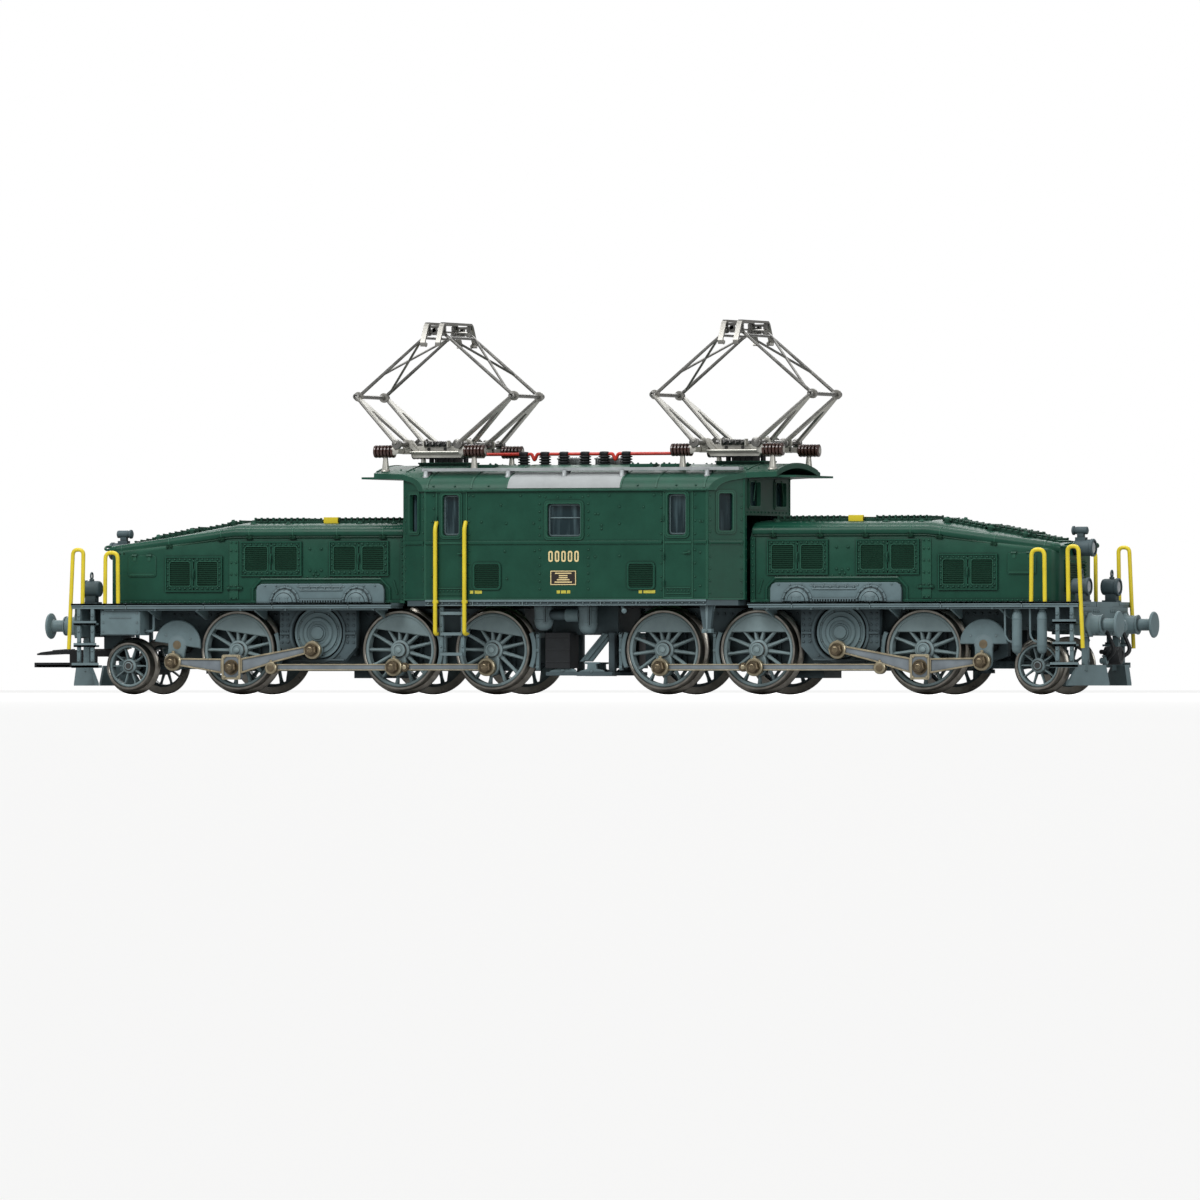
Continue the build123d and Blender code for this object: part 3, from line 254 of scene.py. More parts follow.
    def bolt(self, at, normal, r=0.3, h=0.22):
        """Hexagon head on a washer with a rounded stud end."""
        self.turn([(r * 1.25, -0.05), (r * 1.25, h * 0.25), (r * 1.0, h * 0.25)], at, normal, 12)
        self.turn([(r, h * 0.2), (r, h * 0.85), (r * 0.86, h)], at, normal, 6)
        self.turn([(r * 0.42, h * 0.9), (r * 0.42, h * 1.3), (r * 0.2, h * 1.5)], at, normal, 8)

    def grid_sheet(self, rows, thick_rows):
        """Closed sheet between two grids of points of the same size."""
        a, b = len(rows), len(rows[0])
        verts = [p for row in rows for p in row] + [p for row in thick_rows for p in row]
        off = a * b
        faces = []
        for i in range(a - 1):
            for j in range(b - 1):
                q = [i * b + j, i * b + j + 1, (i + 1) * b + j + 1, (i + 1) * b + j]
                faces += [q, [k + off for k in reversed(q)]]
        rim = ([j for j in range(b)] + [i * b + b - 1 for i in range(1, a)]
               + [(a - 1) * b + j for j in range(b - 2, -1, -1)] + [i * b for i in range(a - 2, 0, -1)])
        faces += [[p, q, q + off, p + off] for p, q in zip(rim, rim[1:] + rim[:1])]
        self.add(verts, faces)

    def piece(self, name, materials, body, slot, stands=(), bevel=0.0, sharp=38):
        """Make the mesh object: it rides on a CAD body and stands in for the named CAD nodes."""
        mesh = bpy.data.meshes.new(name)
        mesh.from_pydata([p * MM for p in self.verts], [], self.faces)
        for m in materials:
            mesh.materials.append(m)
        mesh.polygons.foreach_set("material_index", self.paints)
        bm = bmesh.new()
        bm.from_mesh(mesh)
        bmesh.ops.recalc_face_normals(bm, faces=bm.faces)
        bm.to_mesh(mesh)
        bm.free()
        mesh.polygons.foreach_set("use_smooth", [True] * len(mesh.polygons))
        mesh.set_sharp_from_angle(angle=math.radians(sharp))
        obj = bpy.data.objects.new(name, mesh)
        bpy.context.scene.collection.objects.link(obj)
        if bevel:
            mod = obj.modifiers.new("edges", "BEVEL")
            mod.width = bevel * MM
            mod.segments = 2
            mod.limit_method = "ANGLE"
            mod.angle_limit = math.radians(50)
            mod.harden_normals = True
        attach(obj, body)
        if stands:
            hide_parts(*stands)
        return obj


# ---------------------------------------------------------------- materials
class Wiring:
    """Adds and joins the shader nodes of one tree."""

    def __init__(self, tree):
        self.nodes, self.links = tree.nodes, tree.links

    def add(self, kind, **inputs):
        """New node; an underscore in an input's name stands for a space."""
        node = self.nodes.new("ShaderNode" + kind)
        for socket, value in inputs.items():
            node.inputs[socket.replace("_", " ")].default_value = value
        return node

    def join(self, source, output, target, entry):
        """Link from a named output to an input given by name or number."""
        self.links.new(source.outputs[output], target.inputs[entry])

    def ramp(self, low_at, low, high_at, high):
        """Two-colour ramp."""
        node = self.nodes.new("ShaderNodeValToRGB")
        for element, at, colour in zip(node.color_ramp.elements, (low_at, high_at), (low, high)):
            element.position, element.color = at, (*colour, 1)
        return node

    def paint_light_by_occlusion(self, below, reach, samples, inside, span, amount, colour):
        """Mix a colour over below where the occlusion within reach says corner (or, from inside, edge); this
        paints shade into corners and highlights onto edges.
        """
        corner = self.nodes.new("ShaderNodeAmbientOcclusion")
        corner.samples, corner.inside = samples, inside
        corner.inputs["Distance"].default_value = reach * MM
        amount_node = self.add("MapRange", From_Min=span[0], From_Max=span[1], To_Min=amount, To_Max=0.0)
        self.join(corner, "AO", amount_node, "Value")
        mix = self.add("MixRGB", Color2=(*colour, 1))
        self.join(amount_node, "Result", mix, "Fac")
        self.join(below, "Color", mix, "Color1")
        return mix


def coat(name, colour, rough, metal=0.0, mottle=0.14, grain=260.0, bump=0.10, fine=5200.0, corner_shade=0.45,
         corner_shade_colour=(0.02, 0.022, 0.02), streaks=0.0, coat_weight=0.0, reach=1.1, edge=0.0,
         edge_highlight_colour=(0.4, 0.42, 0.4), specular=0.5):
    """Paint, plastic or metal with mottling, fine grain, painted shade in corners, painted highlights on
    edges and uneven gloss.
    """
    m = bpy.data.materials.new(name)
    m.use_nodes = True
    tree = Wiring(m.node_tree)
    shader = tree.nodes["Principled BSDF"]
    shader.inputs["Metallic"].default_value = metal
    shader.inputs["Specular IOR Level"].default_value = specular
    if coat_weight:
        shader.inputs["Coat Weight"].default_value = coat_weight
        shader.inputs["Coat Roughness"].default_value = 0.25
    where = tree.add("TexCoord")
    cloud = tree.add("TexNoise", Scale=grain, Detail=7, Roughness=0.62)
    tree.join(where, "Object", cloud, "Vector")
    paint = tree.ramp(0.32, [c * (1 - mottle) for c in colour],
                      0.68, [min(1.0, c * (1 + mottle)) for c in colour])
    tree.join(cloud, "Fac", paint, "Fac")
    if streaks:
        stretch = tree.add("Mapping", Scale=(1.0, 1.0, 0.12))
        streak = tree.add("TexNoise", Scale=900, Detail=3)
        tree.join(where, "Object", stretch, "Vector")
        tree.join(stretch, "Vector", streak, "Vector")
        run = tree.add("MixRGB", Fac=streaks)
        run.blend_type = "MULTIPLY"
        tree.join(paint, "Color", run, "Color1")
        tree.join(streak, "Fac", run, "Color2")
        paint = run
    # painted shade: occlusion within reach darkens corners, creases and the ground round small parts towards
    # the shade colour
    if corner_shade:
        paint = tree.paint_light_by_occlusion(paint, reach, 6, False, (0.35, 0.95), corner_shade, corner_shade_colour)
    # painted highlight: occlusion seen from inside lightens convex edges, rivets and thin parts towards the
    # highlight colour
    if edge:
        paint = tree.paint_light_by_occlusion(paint, 0.22, 4, True, (0.05, 0.75), edge, edge_highlight_colour)
    tree.join(paint, "Color", shader, "Base Color")
    gloss = tree.add("MapRange", To_Min=max(0.04, rough - 0.10), To_Max=min(1.0, rough + 0.12))
    tree.join(cloud, "Fac", gloss, "Value")
    tree.join(gloss, "Result", shader, "Roughness")
    tooth = tree.add("TexNoise", Scale=fine, Detail=4)
    tree.join(where, "Object", tooth, "Vector")
    relief = tree.add("Bump", Strength=bump, Distance=0.05 * MM)
    tree.join(tooth, "Fac", relief, "Height")
    tree.join(relief, "Normal", shader, "Normal")
    return m


# every coat below paints shade into its corners by occlusion, and where edge is set it paints highlights onto
# its edges
green = coat("green_paint", (0.009, 0.070, 0.043), 0.40, mottle=0.12, bump=0.18, corner_shade=0.95, specular=0.28,
             corner_shade_colour=(0.0, 0.005, 0.003), streaks=0.12, edge=0.2, edge_highlight_colour=(0.10, 0.30, 0.20),
             reach=0.5)
# green_dark is a darker copy of the green paint, painted shade: used for louvre blades and backs, the clamps
# and the dark lines along the rolled edge
green_dark = coat("green_shadow", (0.004, 0.036, 0.020), 0.45, mottle=0.14, corner_shade=0.6, specular=0.2,
                  corner_shade_colour=(0.001, 0.005, 0.003), edge=0.10, edge_highlight_colour=(0.06, 0.16, 0.10))
# green_top is a lighter copy of the green paint for the roof and the boxes on it: painted light on surfaces
# that face up to the lamps
green_top = coat("green_roof_lit", (0.017, 0.084, 0.054), 0.42, mottle=0.16, bump=0.2, corner_shade=0.85, reach=0.6,
                 specular=0.25,
                 corner_shade_colour=(0.003, 0.012, 0.008), edge=0.14, edge_highlight_colour=(0.12, 0.26, 0.19))
green_mat = coat("green_boards", (0.026, 0.086, 0.058), 0.6, mottle=0.3, bump=0.3, corner_shade=0.7,
                 specular=0.15,
                 corner_shade_colour=(0.003, 0.008, 0.006), edge=0.12, edge_highlight_colour=(0.10, 0.18, 0.15))
grey = coat("grey_plastic", (0.150, 0.216, 0.232), 0.46, mottle=0.12, bump=0.16, corner_shade=0.95, reach=0.6,
            specular=0.3,
            corner_shade_colour=(0.006, 0.009, 0.010), edge=0.16, edge_highlight_colour=(0.30, 0.36, 0.38))
grey_dark = coat("grey_frame", (0.074, 0.108, 0.120), 0.5, mottle=0.16, bump=0.2, corner_shade=0.8, specular=0.25,
                 corner_shade_colour=(0.004, 0.006, 0.007), reach=2.4, edge=0.08, edge_highlight_colour=(0.2, 0.24, 0.25))
wheel_grey = coat("wheel_paint", (0.235, 0.315, 0.328), 0.42, mottle=0.13, bump=0.14, corner_shade=0.85,
                  specular=0.3,
                  corner_shade_colour=(0.004, 0.005, 0.006), edge=0.18, edge_highlight_colour=(0.34, 0.38, 0.38), reach=1.3)
tyre_steel = coat("tyre_steel", (0.34, 0.322, 0.285), 0.30, metal=1.0, mottle=0.28, grain=500, corner_shade=0.6,
                  corner_shade_colour=(0.03, 0.022, 0.016), edge=0.35, edge_highlight_colour=(0.75, 0.70, 0.60))
rod_steel = coat("rod_steel", (0.47, 0.41, 0.28), 0.36, metal=0.8, mottle=0.24, grain=620, corner_shade=0.9,
                 corner_shade_colour=(0.05, 0.035, 0.02), edge=0.3, edge_highlight_colour=(0.86, 0.78, 0.56), reach=0.45)
rod_flute = coat("rod_flute", (0.25, 0.29, 0.32), 0.38, metal=0.45, mottle=0.18, corner_shade=0.7,
                 corner_shade_colour=(0.02, 0.02, 0.02), reach=0.6)
bronze = coat("pin_bronze", (0.165, 0.130, 0.085), 0.36, metal=0.9, mottle=0.35, grain=900, corner_shade=0.5,
              corner_shade_colour=(0.02, 0.014, 0.008), edge=0.3, edge_highlight_colour=(0.50, 0.42, 0.28))
brass = coat("brass", (0.62, 0.47, 0.22), 0.30, metal=1.0, mottle=0.16, corner_shade=0.4,
             corner_shade_colour=(0.07, 0.05, 0.02))
yellow = coat("yellow_paint", (0.80, 0.64, 0.03), 0.36, mottle=0.08, bump=0.08, corner_shade=0.35, specular=0.4,
              corner_shade_colour=(0.25, 0.17, 0.01), coat_weight=0.15)
black = coat("black_plastic", (0.012, 0.014, 0.016), 0.42, mottle=0.25, bump=0.2, corner_shade=0.3, specular=0.35,
             edge=0.10, edge_highlight_colour=(0.10, 0.11, 0.12))
sheet = coat("bright_sheet", (0.56, 0.55, 0.50), 0.42, metal=0.55, mottle=0.16, grain=380, bump=0.1,
             corner_shade=0.8,
             corner_shade_colour=(0.06, 0.055, 0.04), reach=0.4)
steel = coat("pantograph_steel", (0.23, 0.227, 0.215), 0.34, metal=0.9, mottle=0.28, grain=380, bump=0.1,
             corner_shade=0.75, corner_shade_colour=(0.02, 0.02, 0.018), reach=0.7, edge=0.3,
             edge_highlight_colour=(0.85, 0.84, 0.80))
nickel = coat("nickel_sheet", (0.36, 0.352, 0.325), 0.40, metal=0.8, mottle=0.12, grain=380, bump=0.1,
              corner_shade=0.6, corner_shade_colour=(0.06, 0.06, 0.05), reach=0.5)
steel_dark = coat("blackened_steel", (0.115, 0.115, 0.112), 0.32, metal=0.9, mottle=0.3, grain=420,
                  corner_shade=0.4,
                  corner_shade_colour=(0.01, 0.01, 0.01))
brown = coat("insulator_brown", (0.052, 0.020, 0.014), 0.18, mottle=0.25, bump=0.05, corner_shade=0.7,
             corner_shade_colour=(0.006, 0.002, 0.002), coat_weight=0.5)
red = coat("red_wire", (0.60, 0.035, 0.02), 0.36, mottle=0.1, corner_shade=0.3, corner_shade_colour=(0.1, 0.01, 0.01))
silver = coat("silver_paint", (0.31, 0.335, 0.34), 0.6, metal=0.0, specular=0.2, mottle=0.12, bump=0.12,
              corner_shade=0.5,
              corner_shade_colour=(0.06, 0.07, 0.07), edge=0.2, edge_highlight_colour=(0.8, 0.82, 0.82))
walk_grey = coat("walkway_grey", (0.42, 0.45, 0.46), 0.44, metal=0.3, mottle=0.16, bump=0.2, corner_shade=0.7,
                 corner_shade_colour=(0.02, 0.024, 0.028), edge=0.2, edge_highlight_colour=(0.5, 0.53, 0.53))
board = coat("board_green", (0.02, 0.16, 0.06), 0.35, mottle=0.12, corner_shade=0.4)
yellow_print = coat("yellow_print", (0.55, 0.50, 0.06), 0.5, mottle=0.2, grain=2500, bump=0.05, corner_shade=0.0)
cream = coat("cream_print", (0.85, 0.68, 0.34), 0.5, mottle=0.05, bump=0.05, corner_shade=0.0)
plate_dark = coat("plate_dark", (0.020, 0.012, 0.010), 0.5, mottle=0.08, corner_shade=0.2)
lens = coat("lamp_lens", (0.34, 0.38, 0.40), 0.12, mottle=0.05, bump=0.05, corner_shade=0.5, coat_weight=0.6)


def window_material():
    """Dark glass with faint upright streaks, like a blind behind it."""
    m = coat("window_glass", (0.026, 0.052, 0.058), 0.07, mottle=0.5, grain=90, bump=0.02, fine=900,
             corner_shade=0.5,
             corner_shade_colour=(0.002, 0.003, 0.004), reach=1.6, streaks=0.5)
    tree = Wiring(m.node_tree)
    where = tree.add("TexCoord")
    squeeze = tree.add("Mapping", Scale=(900, 900, 60))
    tree.join(where, "Object", squeeze, "Vector")
    blind = tree.add("TexNoise", Scale=1.0, Detail=3)
    tree.join(squeeze, "Vector", blind, "Vector")
    level = tree.ramp(0.50, (0.010, 0.026, 0.032), 0.66, (0.062, 0.105, 0.118))
    tree.join(blind, "Fac", level, "Fac")
    tree.join(level, "Color", tree.nodes["Principled BSDF"], "Base Color")
    return m


glass = window_material()

CAD_FINISH = {
    "bogie_frame": grey_dark, "pony_truck": grey_dark, "bridge_frame": grey_dark, "circuit_board": board,
    "motor": nickel, "motor_shaft": steel_dark, "idler_gear": brass, "cab_shell": green,
    "roof": green_top,
    "cab_windows": glass, "brake_gear": grey_dark, "running_board": grey, "hood": green, "buffers": grey,
    "lamps": grey, "end_handrails": yellow, "wheelset": wheel_grey, "jackshaft": wheel_grey,
    "blind_shaft": wheel_grey,
    "rods": rod_steel, "pony_wheelset": wheel_grey, "pantograph_bases": steel,
    "pantograph_insulators": brown,
    "pantograph": steel, "coupler": black, "brake_hoses": black, "cab_steps": grey,
    "cab_handrails": yellow,
    "roof_walkways": walk_grey, "roof_insulators": black, "roof_busbar": red, "roof_equipment": grey,
}
for node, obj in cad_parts.items():
    finish = max((key for key in CAD_FINISH if node.startswith(key)), key=len)
    obj.data.materials.clear()
    obj.data.materials.append(CAD_FINISH[finish])


# ---------------------------------------------------------------- wheels
def spin(x, z, phase):
    """Turned by phase degrees about a shaft across the model at x, z."""
    return Matrix.Translation((x, 0, z)) @ Matrix.Rotation(math.radians(phase), 4, "Y")


def wheel(s, tread, flange, spokes, hub, rim, driven):
    """One spoked wheel about the local origin."""
    core = tread - 0.55
    out = ACROSS
    zero = (0, 0, 0)
    s.paint = 1
    s.turn([(core, 7.15), (flange - 0.2, 7.15), (flange, 7.32), (flange, 7.55), (flange - 0.25, 7.85),
            (tread + 0.1, 8.0), (tread, 8.2), (tread, 9.85), (tread - 0.14, 10.05),
            (core + 0.1, 10.05), (core, 9.95)], zero, out, 72, closed=True)
    s.paint = 0
    s.turn([(core + 0.02, 7.9), (core + 0.02, 9.72), (core - 0.1, 9.8), (core - rim + 0.1, 9.8),
            (core - rim, 9.7), (core - rim, 7.9)], zero, out, 72, closed=True)
    s.turn([(hub, 7.15), (hub, 9.75), (hub - 0.22, 9.95), (hub - 0.5, 10.0), (hub - 0.62, 10.22),
            (hub - 0.8, 10.28), (0.62, 10.28), (0.5, 10.1), (0.05, 10.1)], zero, out, 28)
    for k in range(spokes):
        a = math.radians(90 + 180 / spokes + k * 360 / spokes)
        ray, across = Vector((math.cos(a), 0, math.sin(a))), Vector((-math.sin(a), 0, math.cos(a)))
        deep = Vector(ACROSS)
        rings = []
        for share, w, t in ((0.0, 0.62, 0.72), (0.25, 0.40, 0.62), (0.75, 0.30, 0.55), (1.0, 0.46, 0.68)):
            c = ray * (hub - 0.3 + (core - rim + 0.25 - hub + 0.3) * share) + deep * 8.85
            scale = tread / 7.75
            rings.append([c + across * math.cos(2 * math.pi * j / 10) * w * scale
                          + deep * math.sin(2 * math.pi * j / 10) * t for j in range(10)])
        s.skin(rings)
    if driven:
        r = core - rim + 0.25
        reach = math.degrees(math.asin(3.4 / r))
        crescent = arc(0, 0, r, reach, 180 - reach, 26)
        s.prism(crescent, "xz", 8.1, 9.66, 0.18)
        neck = [(1.6, -THROW / 2), (1.0, -0.4), (-1.0, -0.4), (-1.6, -THROW / 2)]
        boss = arc(0, -THROW, 1.7, 180, 360, 16) + neck
        s.prism(boss, "xz", 8.1, 10.16, 0.2)
        s.turn([(1.28, 9.9), (1.34, 10.0), (1.34, 10.5), (1.24, 10.6), (1.0, 10.6), (0.94, 10.48),
                (0.6, 10.48), (0.54, 10.62), (0.4, 10.68), (0.05, 10.68)], zero, out, 30)
        crank_pin(s, 9.0, 2)


def crank_pin(s, root, paint):
    """Pin with collar, nut and end cap."""
    s.paint = paint
    out, pin = ACROSS, (0, 0, -THROW)
    s.turn([(0.9, root), (0.9, 12.5)], pin, out, 20)
    s.turn([(1.3, 10.45), (1.3, 11.0), (1.22, 11.07)], pin, out, 20)
    s.turn([(1.25, 12.43), (1.25, 13.22), (1.05, 13.4)], pin, out, 6)
    s.turn([(0.6, 13.3), (0.6, 13.44), (0.42, 13.5), (0.3, 13.38)], pin, out, 16)


for name, end, phase in BOGIES:
    for i, x in enumerate(DRIVERS, 1):
        s = Shape()
        for side, lead in ((NEAR, 0), (FAR, FAR_LEAD)):
            s.at(spin(end * x, DRIVER_Z, phase + lead)).flip(1, side)
            wheel(s, 7.75, 8.65, 13, 1.95, 0.62, True)
        s.at().paint = 3
        s.rod((end * x, -10.2, DRIVER_Z), (end * x, 10.2, DRIVER_Z), 1.5, 24, 0.1)
        s.piece(f"driver_{name}_{i}", [wheel_grey, tyre_steel, bronze, steel_dark], f"driver_{name}_{i}",
                "wheel_metal", [f"wheelset_{name}_{i}"])
    s = Shape()
    s.at(spin(end * CARRIER[0], CARRIER[1], 0))
    for side in (NEAR, FAR):
        wheel(s.flip(1, side), 4.7, 5.6, 10, 1.4, 0.5, False)
    s.at().paint = 3
    s.rod((end * CARRIER[0], -10.2, CARRIER[1]), (end * CARRIER[0], 10.2, CARRIER[1]), 1.0, 20, 0.1)
    s.piece(f"carrier_{name}", [wheel_grey, tyre_steel, bronze, steel_dark], f"carrier_{name}",
            "wheel_metal", [f"pony_wheelset_{name}"])

    # jackshaft with stepped crank discs
    s = Shape()
    x = end * JACK[0]
    for side, lead in ((NEAR, 0), (FAR, FAR_LEAD)):
        s.at(spin(x, JACK[1], phase + lead)).flip(1, side).paint = 0
        s.turn([(1.5, 8.6), (5.0, 8.8), (5.1, 8.95), (5.1, 9.75), (4.95, 9.95), (4.55, 9.95), (4.45, 9.8),
                (4.05, 9.8), (3.95, 10.05), (3.1, 10.05), (3.0, 10.25), (2.9, 10.36), (2.35, 10.36),
                (2.25, 10.2), (1.7, 10.2), (1.6, 10.4), (1.3, 10.4), (1.25, 10.62), (1.1, 10.7),
                (0.4, 10.7)], (0, 0, 0), ACROSS, 56)
        for k in range(8):
            a = math.radians(k * 45 + 22.5)
            s.bolt((4.25 * math.cos(a), 9.8, 4.25 * math.sin(a)), ACROSS, 0.2, 0.16)
        s.prism(arc(0, -THROW, 1.6, 0, 360, 24)[:-1], "xz", 9.9, 10.42, 0.15)
        crank_pin(s, 10.0, 1)
    s.at().paint = 2
    s.rod((x, -8.9, JACK[1]), (x, 8.9, JACK[1]), 1.5, 24)
    stands = [f"jackshaft_{name}"]
    if end > 0:
        s.paint = 3
        s.at(Matrix.Translation((x, 0, JACK[1])))
        reach = math.degrees(math.atan2(6.4, math.sqrt(8.6 ** 2 - 6.4 ** 2)))
        teeth = []
        for k in range(20):
            for r, da in ((3.4, -4.9), (4.34, -1.45), (4.34, 1.45), (3.4, 4.9)):
                a = math.radians(reach + k * 18 + da)
                teeth.append((r * math.cos(a), r * math.sin(a)))
        s.prism(teeth, "xz", -1.2, 1.2)
    s.at().piece(f"jackshaft_discs_{name}", [grey, bronze, steel_dark, brass], f"jackshaft_{name}_body",
                 "grey_metal", stands)

    # blind shaft with half-moon weights
    s = Shape()
    x = end * BLIND[0]
    for side, lead in ((NEAR, 0), (FAR, FAR_LEAD)):
        s.at(spin(x, BLIND[1], phase + lead)).flip(1, side).paint = 0
        moon = arc(0, 0, 4.85, 0, 180, 30)
        s.prism(moon, "xz", 10.3, 10.9, 0.15)
        neck = arc(0, -THROW, 1.75, 180, 360, 16) + [(1.8, 0.3), (-1.8, 0.3)]
        s.prism(neck, "xz", 10.3, 10.93, 0.12)
        s.turn([(1.9, 10.2), (1.9, 10.86), (1.3, 10.95), (0.9, 10.99), (0.3, 10.99)], (0, 0, 0), ACROSS,
               24)
        s.paint = 1
        s.turn([(0.85, 10.9), (0.85, 11.02), (0.4, 11.06)], (0, 0, 0), ACROSS, 20)
        s.paint = 0
        s.bolt((2.6, 10.9, 1.6), ACROSS, 0.22, 0.08)
        s.bolt((-2.6, 10.9, 1.6), ACROSS, 0.22, 0.08)
        crank_pin(s, 10.4, 1)
    s.at().paint = 2
    s.rod((x, -10.3, BLIND[1]), (x, 10.3, BLIND[1]), 1.5, 24)
    s.piece(f"blind_cranks_{name}", [grey, bronze, steel_dark], f"blind_shaft_{name}_body", "grey_metal",
            [f"blind_shaft_{name}"])


# ---------------------------------------------------------------- rods
def eye(s, x, z, r, y0, y1, cup=0.45):
    """Rod eye with a bush and an oil cup."""
    s.paint = 1
    s.turn([(0.99, y0), (r - 0.12, y0), (r, y0 + 0.1), (r, y1 - 0.12), (r - 0.14, y1), (0.99, y1)],
           (x, 0, z), ACROSS, 32, closed=True)
    s.paint = 2
    s.turn([(0.97, y0), (1.32, y0), (1.32, y1 + 0.04), (0.97, y1 + 0.04)], (x, 0, z), ACROSS, 28,
           closed=True)
    s.paint = 1
    s.rod((x, (y0 + y1) / 2, z + r - 0.15), (x, (y0 + y1) / 2, z + r + cup), 0.34, 10, 0.08)


def fluted(s, loop, y0, y1, rim=0.3, sink=0.22):
    """Flat rod body with a raised edge round a sunk web."""
    s.paint = 1
    s.prism(loop, "xz", y0, (y1 - sink))
    s.hollow(loop, inset(loop, rim), "xz", (y1 - sink - 0.02), y1)
    s.paint = 0
    s.prism(inset(loop, rim), "xz", (y1 - sink - 0.1), (y1 - sink + 0.03))


def rods(name, end, side, phase, tag):
    """Slanted main rod and coupling rods of one side of one bogie."""
    a = math.radians(phase)
    dx, dz = -THROW * math.sin(a), -THROW * math.cos(a)
    blind = (end * BLIND[0] + dx, BLIND[1] + dz)
    jack = (end * JACK[0] + dx, JACK[1] + dz)
    first, second, third = [(end * v + dx, DRIVER_Z + dz) for v in DRIVERS]
    link = (end * 63.1 + dx, first[1] - 0.15)
    s = Shape().flip(1, side)
    yoke = 1.95
    outer = [(blind[0] - end * 1.3, blind[1] + 0.75), (first[0] + end * yoke, first[1] + 1.7),
             (first[0] + end * yoke, first[1] - 1.2), (blind[0] - end * 1.3, blind[1] - 0.75)]
    fluted(s, outer, 11.2, 12.2)
    inner = [(first[0] - end * yoke, first[1] + 1.75), (jack[0] + end * 1.3, jack[1] + 0.8),
             (jack[0] + end * 1.3, jack[1] - 0.75), (link[0] - end * 0.9, link[1] + 1.15),
             (link[0] + end * 1.0, link[1] + 0.55), (first[0] - end * yoke, first[1] - 1.2)]
    fluted(s, inner, 11.2, 12.2)
    # adjusting yoke round the first driver's pin
    s.paint = 1
    box = soft_rect(first[0] - 1.98, first[0] + 1.98, first[1] - 2.4, first[1] + 2.45, 0.35)
    hole = [(first[0] + 1.0 * math.cos(math.atan2(v - first[1], u - first[0])),
             first[1] + 1.0 * math.sin(math.atan2(v - first[1], u - first[0]))) for u, v in box]
    s.paint = 0
    s.hollow(box, hole, "xz", 11.15, 12.24)
    s.paint = 1
    s.hollow(box, inset(box, 0.42), "xz", 12.2, 12.36)
    s.paint = 2
    s.turn([(0.97, 11.2), (1.5, 11.2), (1.5, 12.36), (0.97, 12.36)], (first[0], 0, first[1]), ACROSS, 28,
           closed=True)
    s.paint = 1
    for dx_ in (-1.45, 1.45):
        for dz_ in (-1.95, 2.0):
            s.bolt((first[0] + dx_, 12.3, first[1] + dz_), ACROSS, 0.26, 0.2)
    for c, cup in ((blind, 0.45), (jack, 0.1)):
        eye(s, c[0], c[1], 1.75, 11.15, 12.32, cup)
    # link pin of the coupling rod
    s.turn([(0.5, 11.15), (0.5, 11.74), (1.2, 11.8), (1.2, 12.2), (1.05, 12.32), (0.55, 12.32),
            (0.5, 12.42), (0.1, 12.42)], (link[0], 0, link[1]), ACROSS, 24)
    s.paint = 2
    s.turn([(0.66, 12.28), (0.66, 12.44), (0.4, 12.5), (0.2, 12.5)], (link[0], 0, link[1]), ACROSS, 18)
    s.paint = 1
    s.rod((link[0], 12.0, link[1] + 1.0), (link[0], 12.0, link[1] + 1.55), 0.28, 10, 0.06)
    # coupling rod
    slim_y = (11.28, 11.72)
    for p, q in ((link, second), (second, third)):
        z = second[1]
        x0, x1 = p[0] - end * 1.0, q[0] + end * 1.2
        fluted(s, [(x0, z - 0.62), (x1, z - 0.62), (x1, z + 0.62), (x0, z + 0.62)], *slim_y, rim=0.2,
               sink=0.14)
    knuckle = second[0] - end * 2.3
    s.paint = 2
    s.turn([(0.86, 11.3), (0.9, 11.4), (0.9, 12.0), (0.78, 12.1)], (knuckle, 0, second[1]), ACROSS, 20)
    s.paint = 1
    s.turn([(0.45, 12.05), (0.45, 12.18), (0.3, 12.24)], (knuckle, 0, second[1]), ACROSS, 14)
    for c in (second, third):
        eye(s, c[0], c[1], 1.75, 11.15, 12.32)
    s.paint = 1
    s.turn([(0.58, 11.16), (1.2, 11.16), (1.2, 11.7), (0.58, 11.7)], (link[0], 0, link[1]), ACROSS, 24,
           closed=True)
    s.piece(f"side_rods_{name}_{tag}", [rod_flute, rod_steel, bronze], f"rods_{name}_{tag}_body",
            "rod_metal", [f"rods_{name}_{tag}"], bevel=0.05)


for name, end, phase in BOGIES:
    rods(name, end, NEAR, phase, "near")
    rods(name, end, FAR, phase + FAR_LEAD, "far")


# ---------------------------------------------------------------- bonnets
PANELS = ((39.4, 51.9, 23.1, 29.9), (57.7, 70.6, 23.1, 29.9), (74.5, 86.6, 20.1, 27.0))
SLOPE_X, NOSE_X, REAR_X = 72.2, 98.6, 36.0
NOSE_R, SHELL = 2.0, 0.9                              # rounding of the nose, thickness of the bonnet


def hood_ring(x, thin):
    """Outline of the bonnet at x, as (y, z) from skirt over the crown to skirt, moved in by thin."""
    share = max(0.0, (x - SLOPE_X) / (NOSE_X - SLOPE_X))
    side_z = 30.5 - 3.3 * share - thin
    edge_y, edge_z = 8.0 + 0.9 * share - thin, 33.1 - 4.6 * share - thin
    crown = 33.7 - 4.7 * share - thin
    half = HOOD_Y - thin
    if x > NOSE_X - NOSE_R:
        cut = NOSE_R - math.sqrt(max(0.0, NOSE_R ** 2 - (x - NOSE_X + NOSE_R) ** 2))
        half -= cut
        edge_y -= cut
    points = [(half, DECK_Z), (half, (DECK_Z + side_z) / 2), (half, side_z)]
    for k in range(1, 6):
        t = k / 6
        bulge = 0.30 * math.sin(math.pi * t)
        points.append((half + (edge_y - half) * t + bulge, side_z + (edge_z - side_z) * t + bulge))
    points.append((edge_y, edge_z))
    for k in (1, 2):
        y = edge_y * (1 - k / 2.5)
        points.append((y, edge_z + (crown - edge_z) * (1 - (y / edge_y) ** 2)))
    return points + [(0.0, crown)] + [(-y, z) for y, z in reversed(points)]


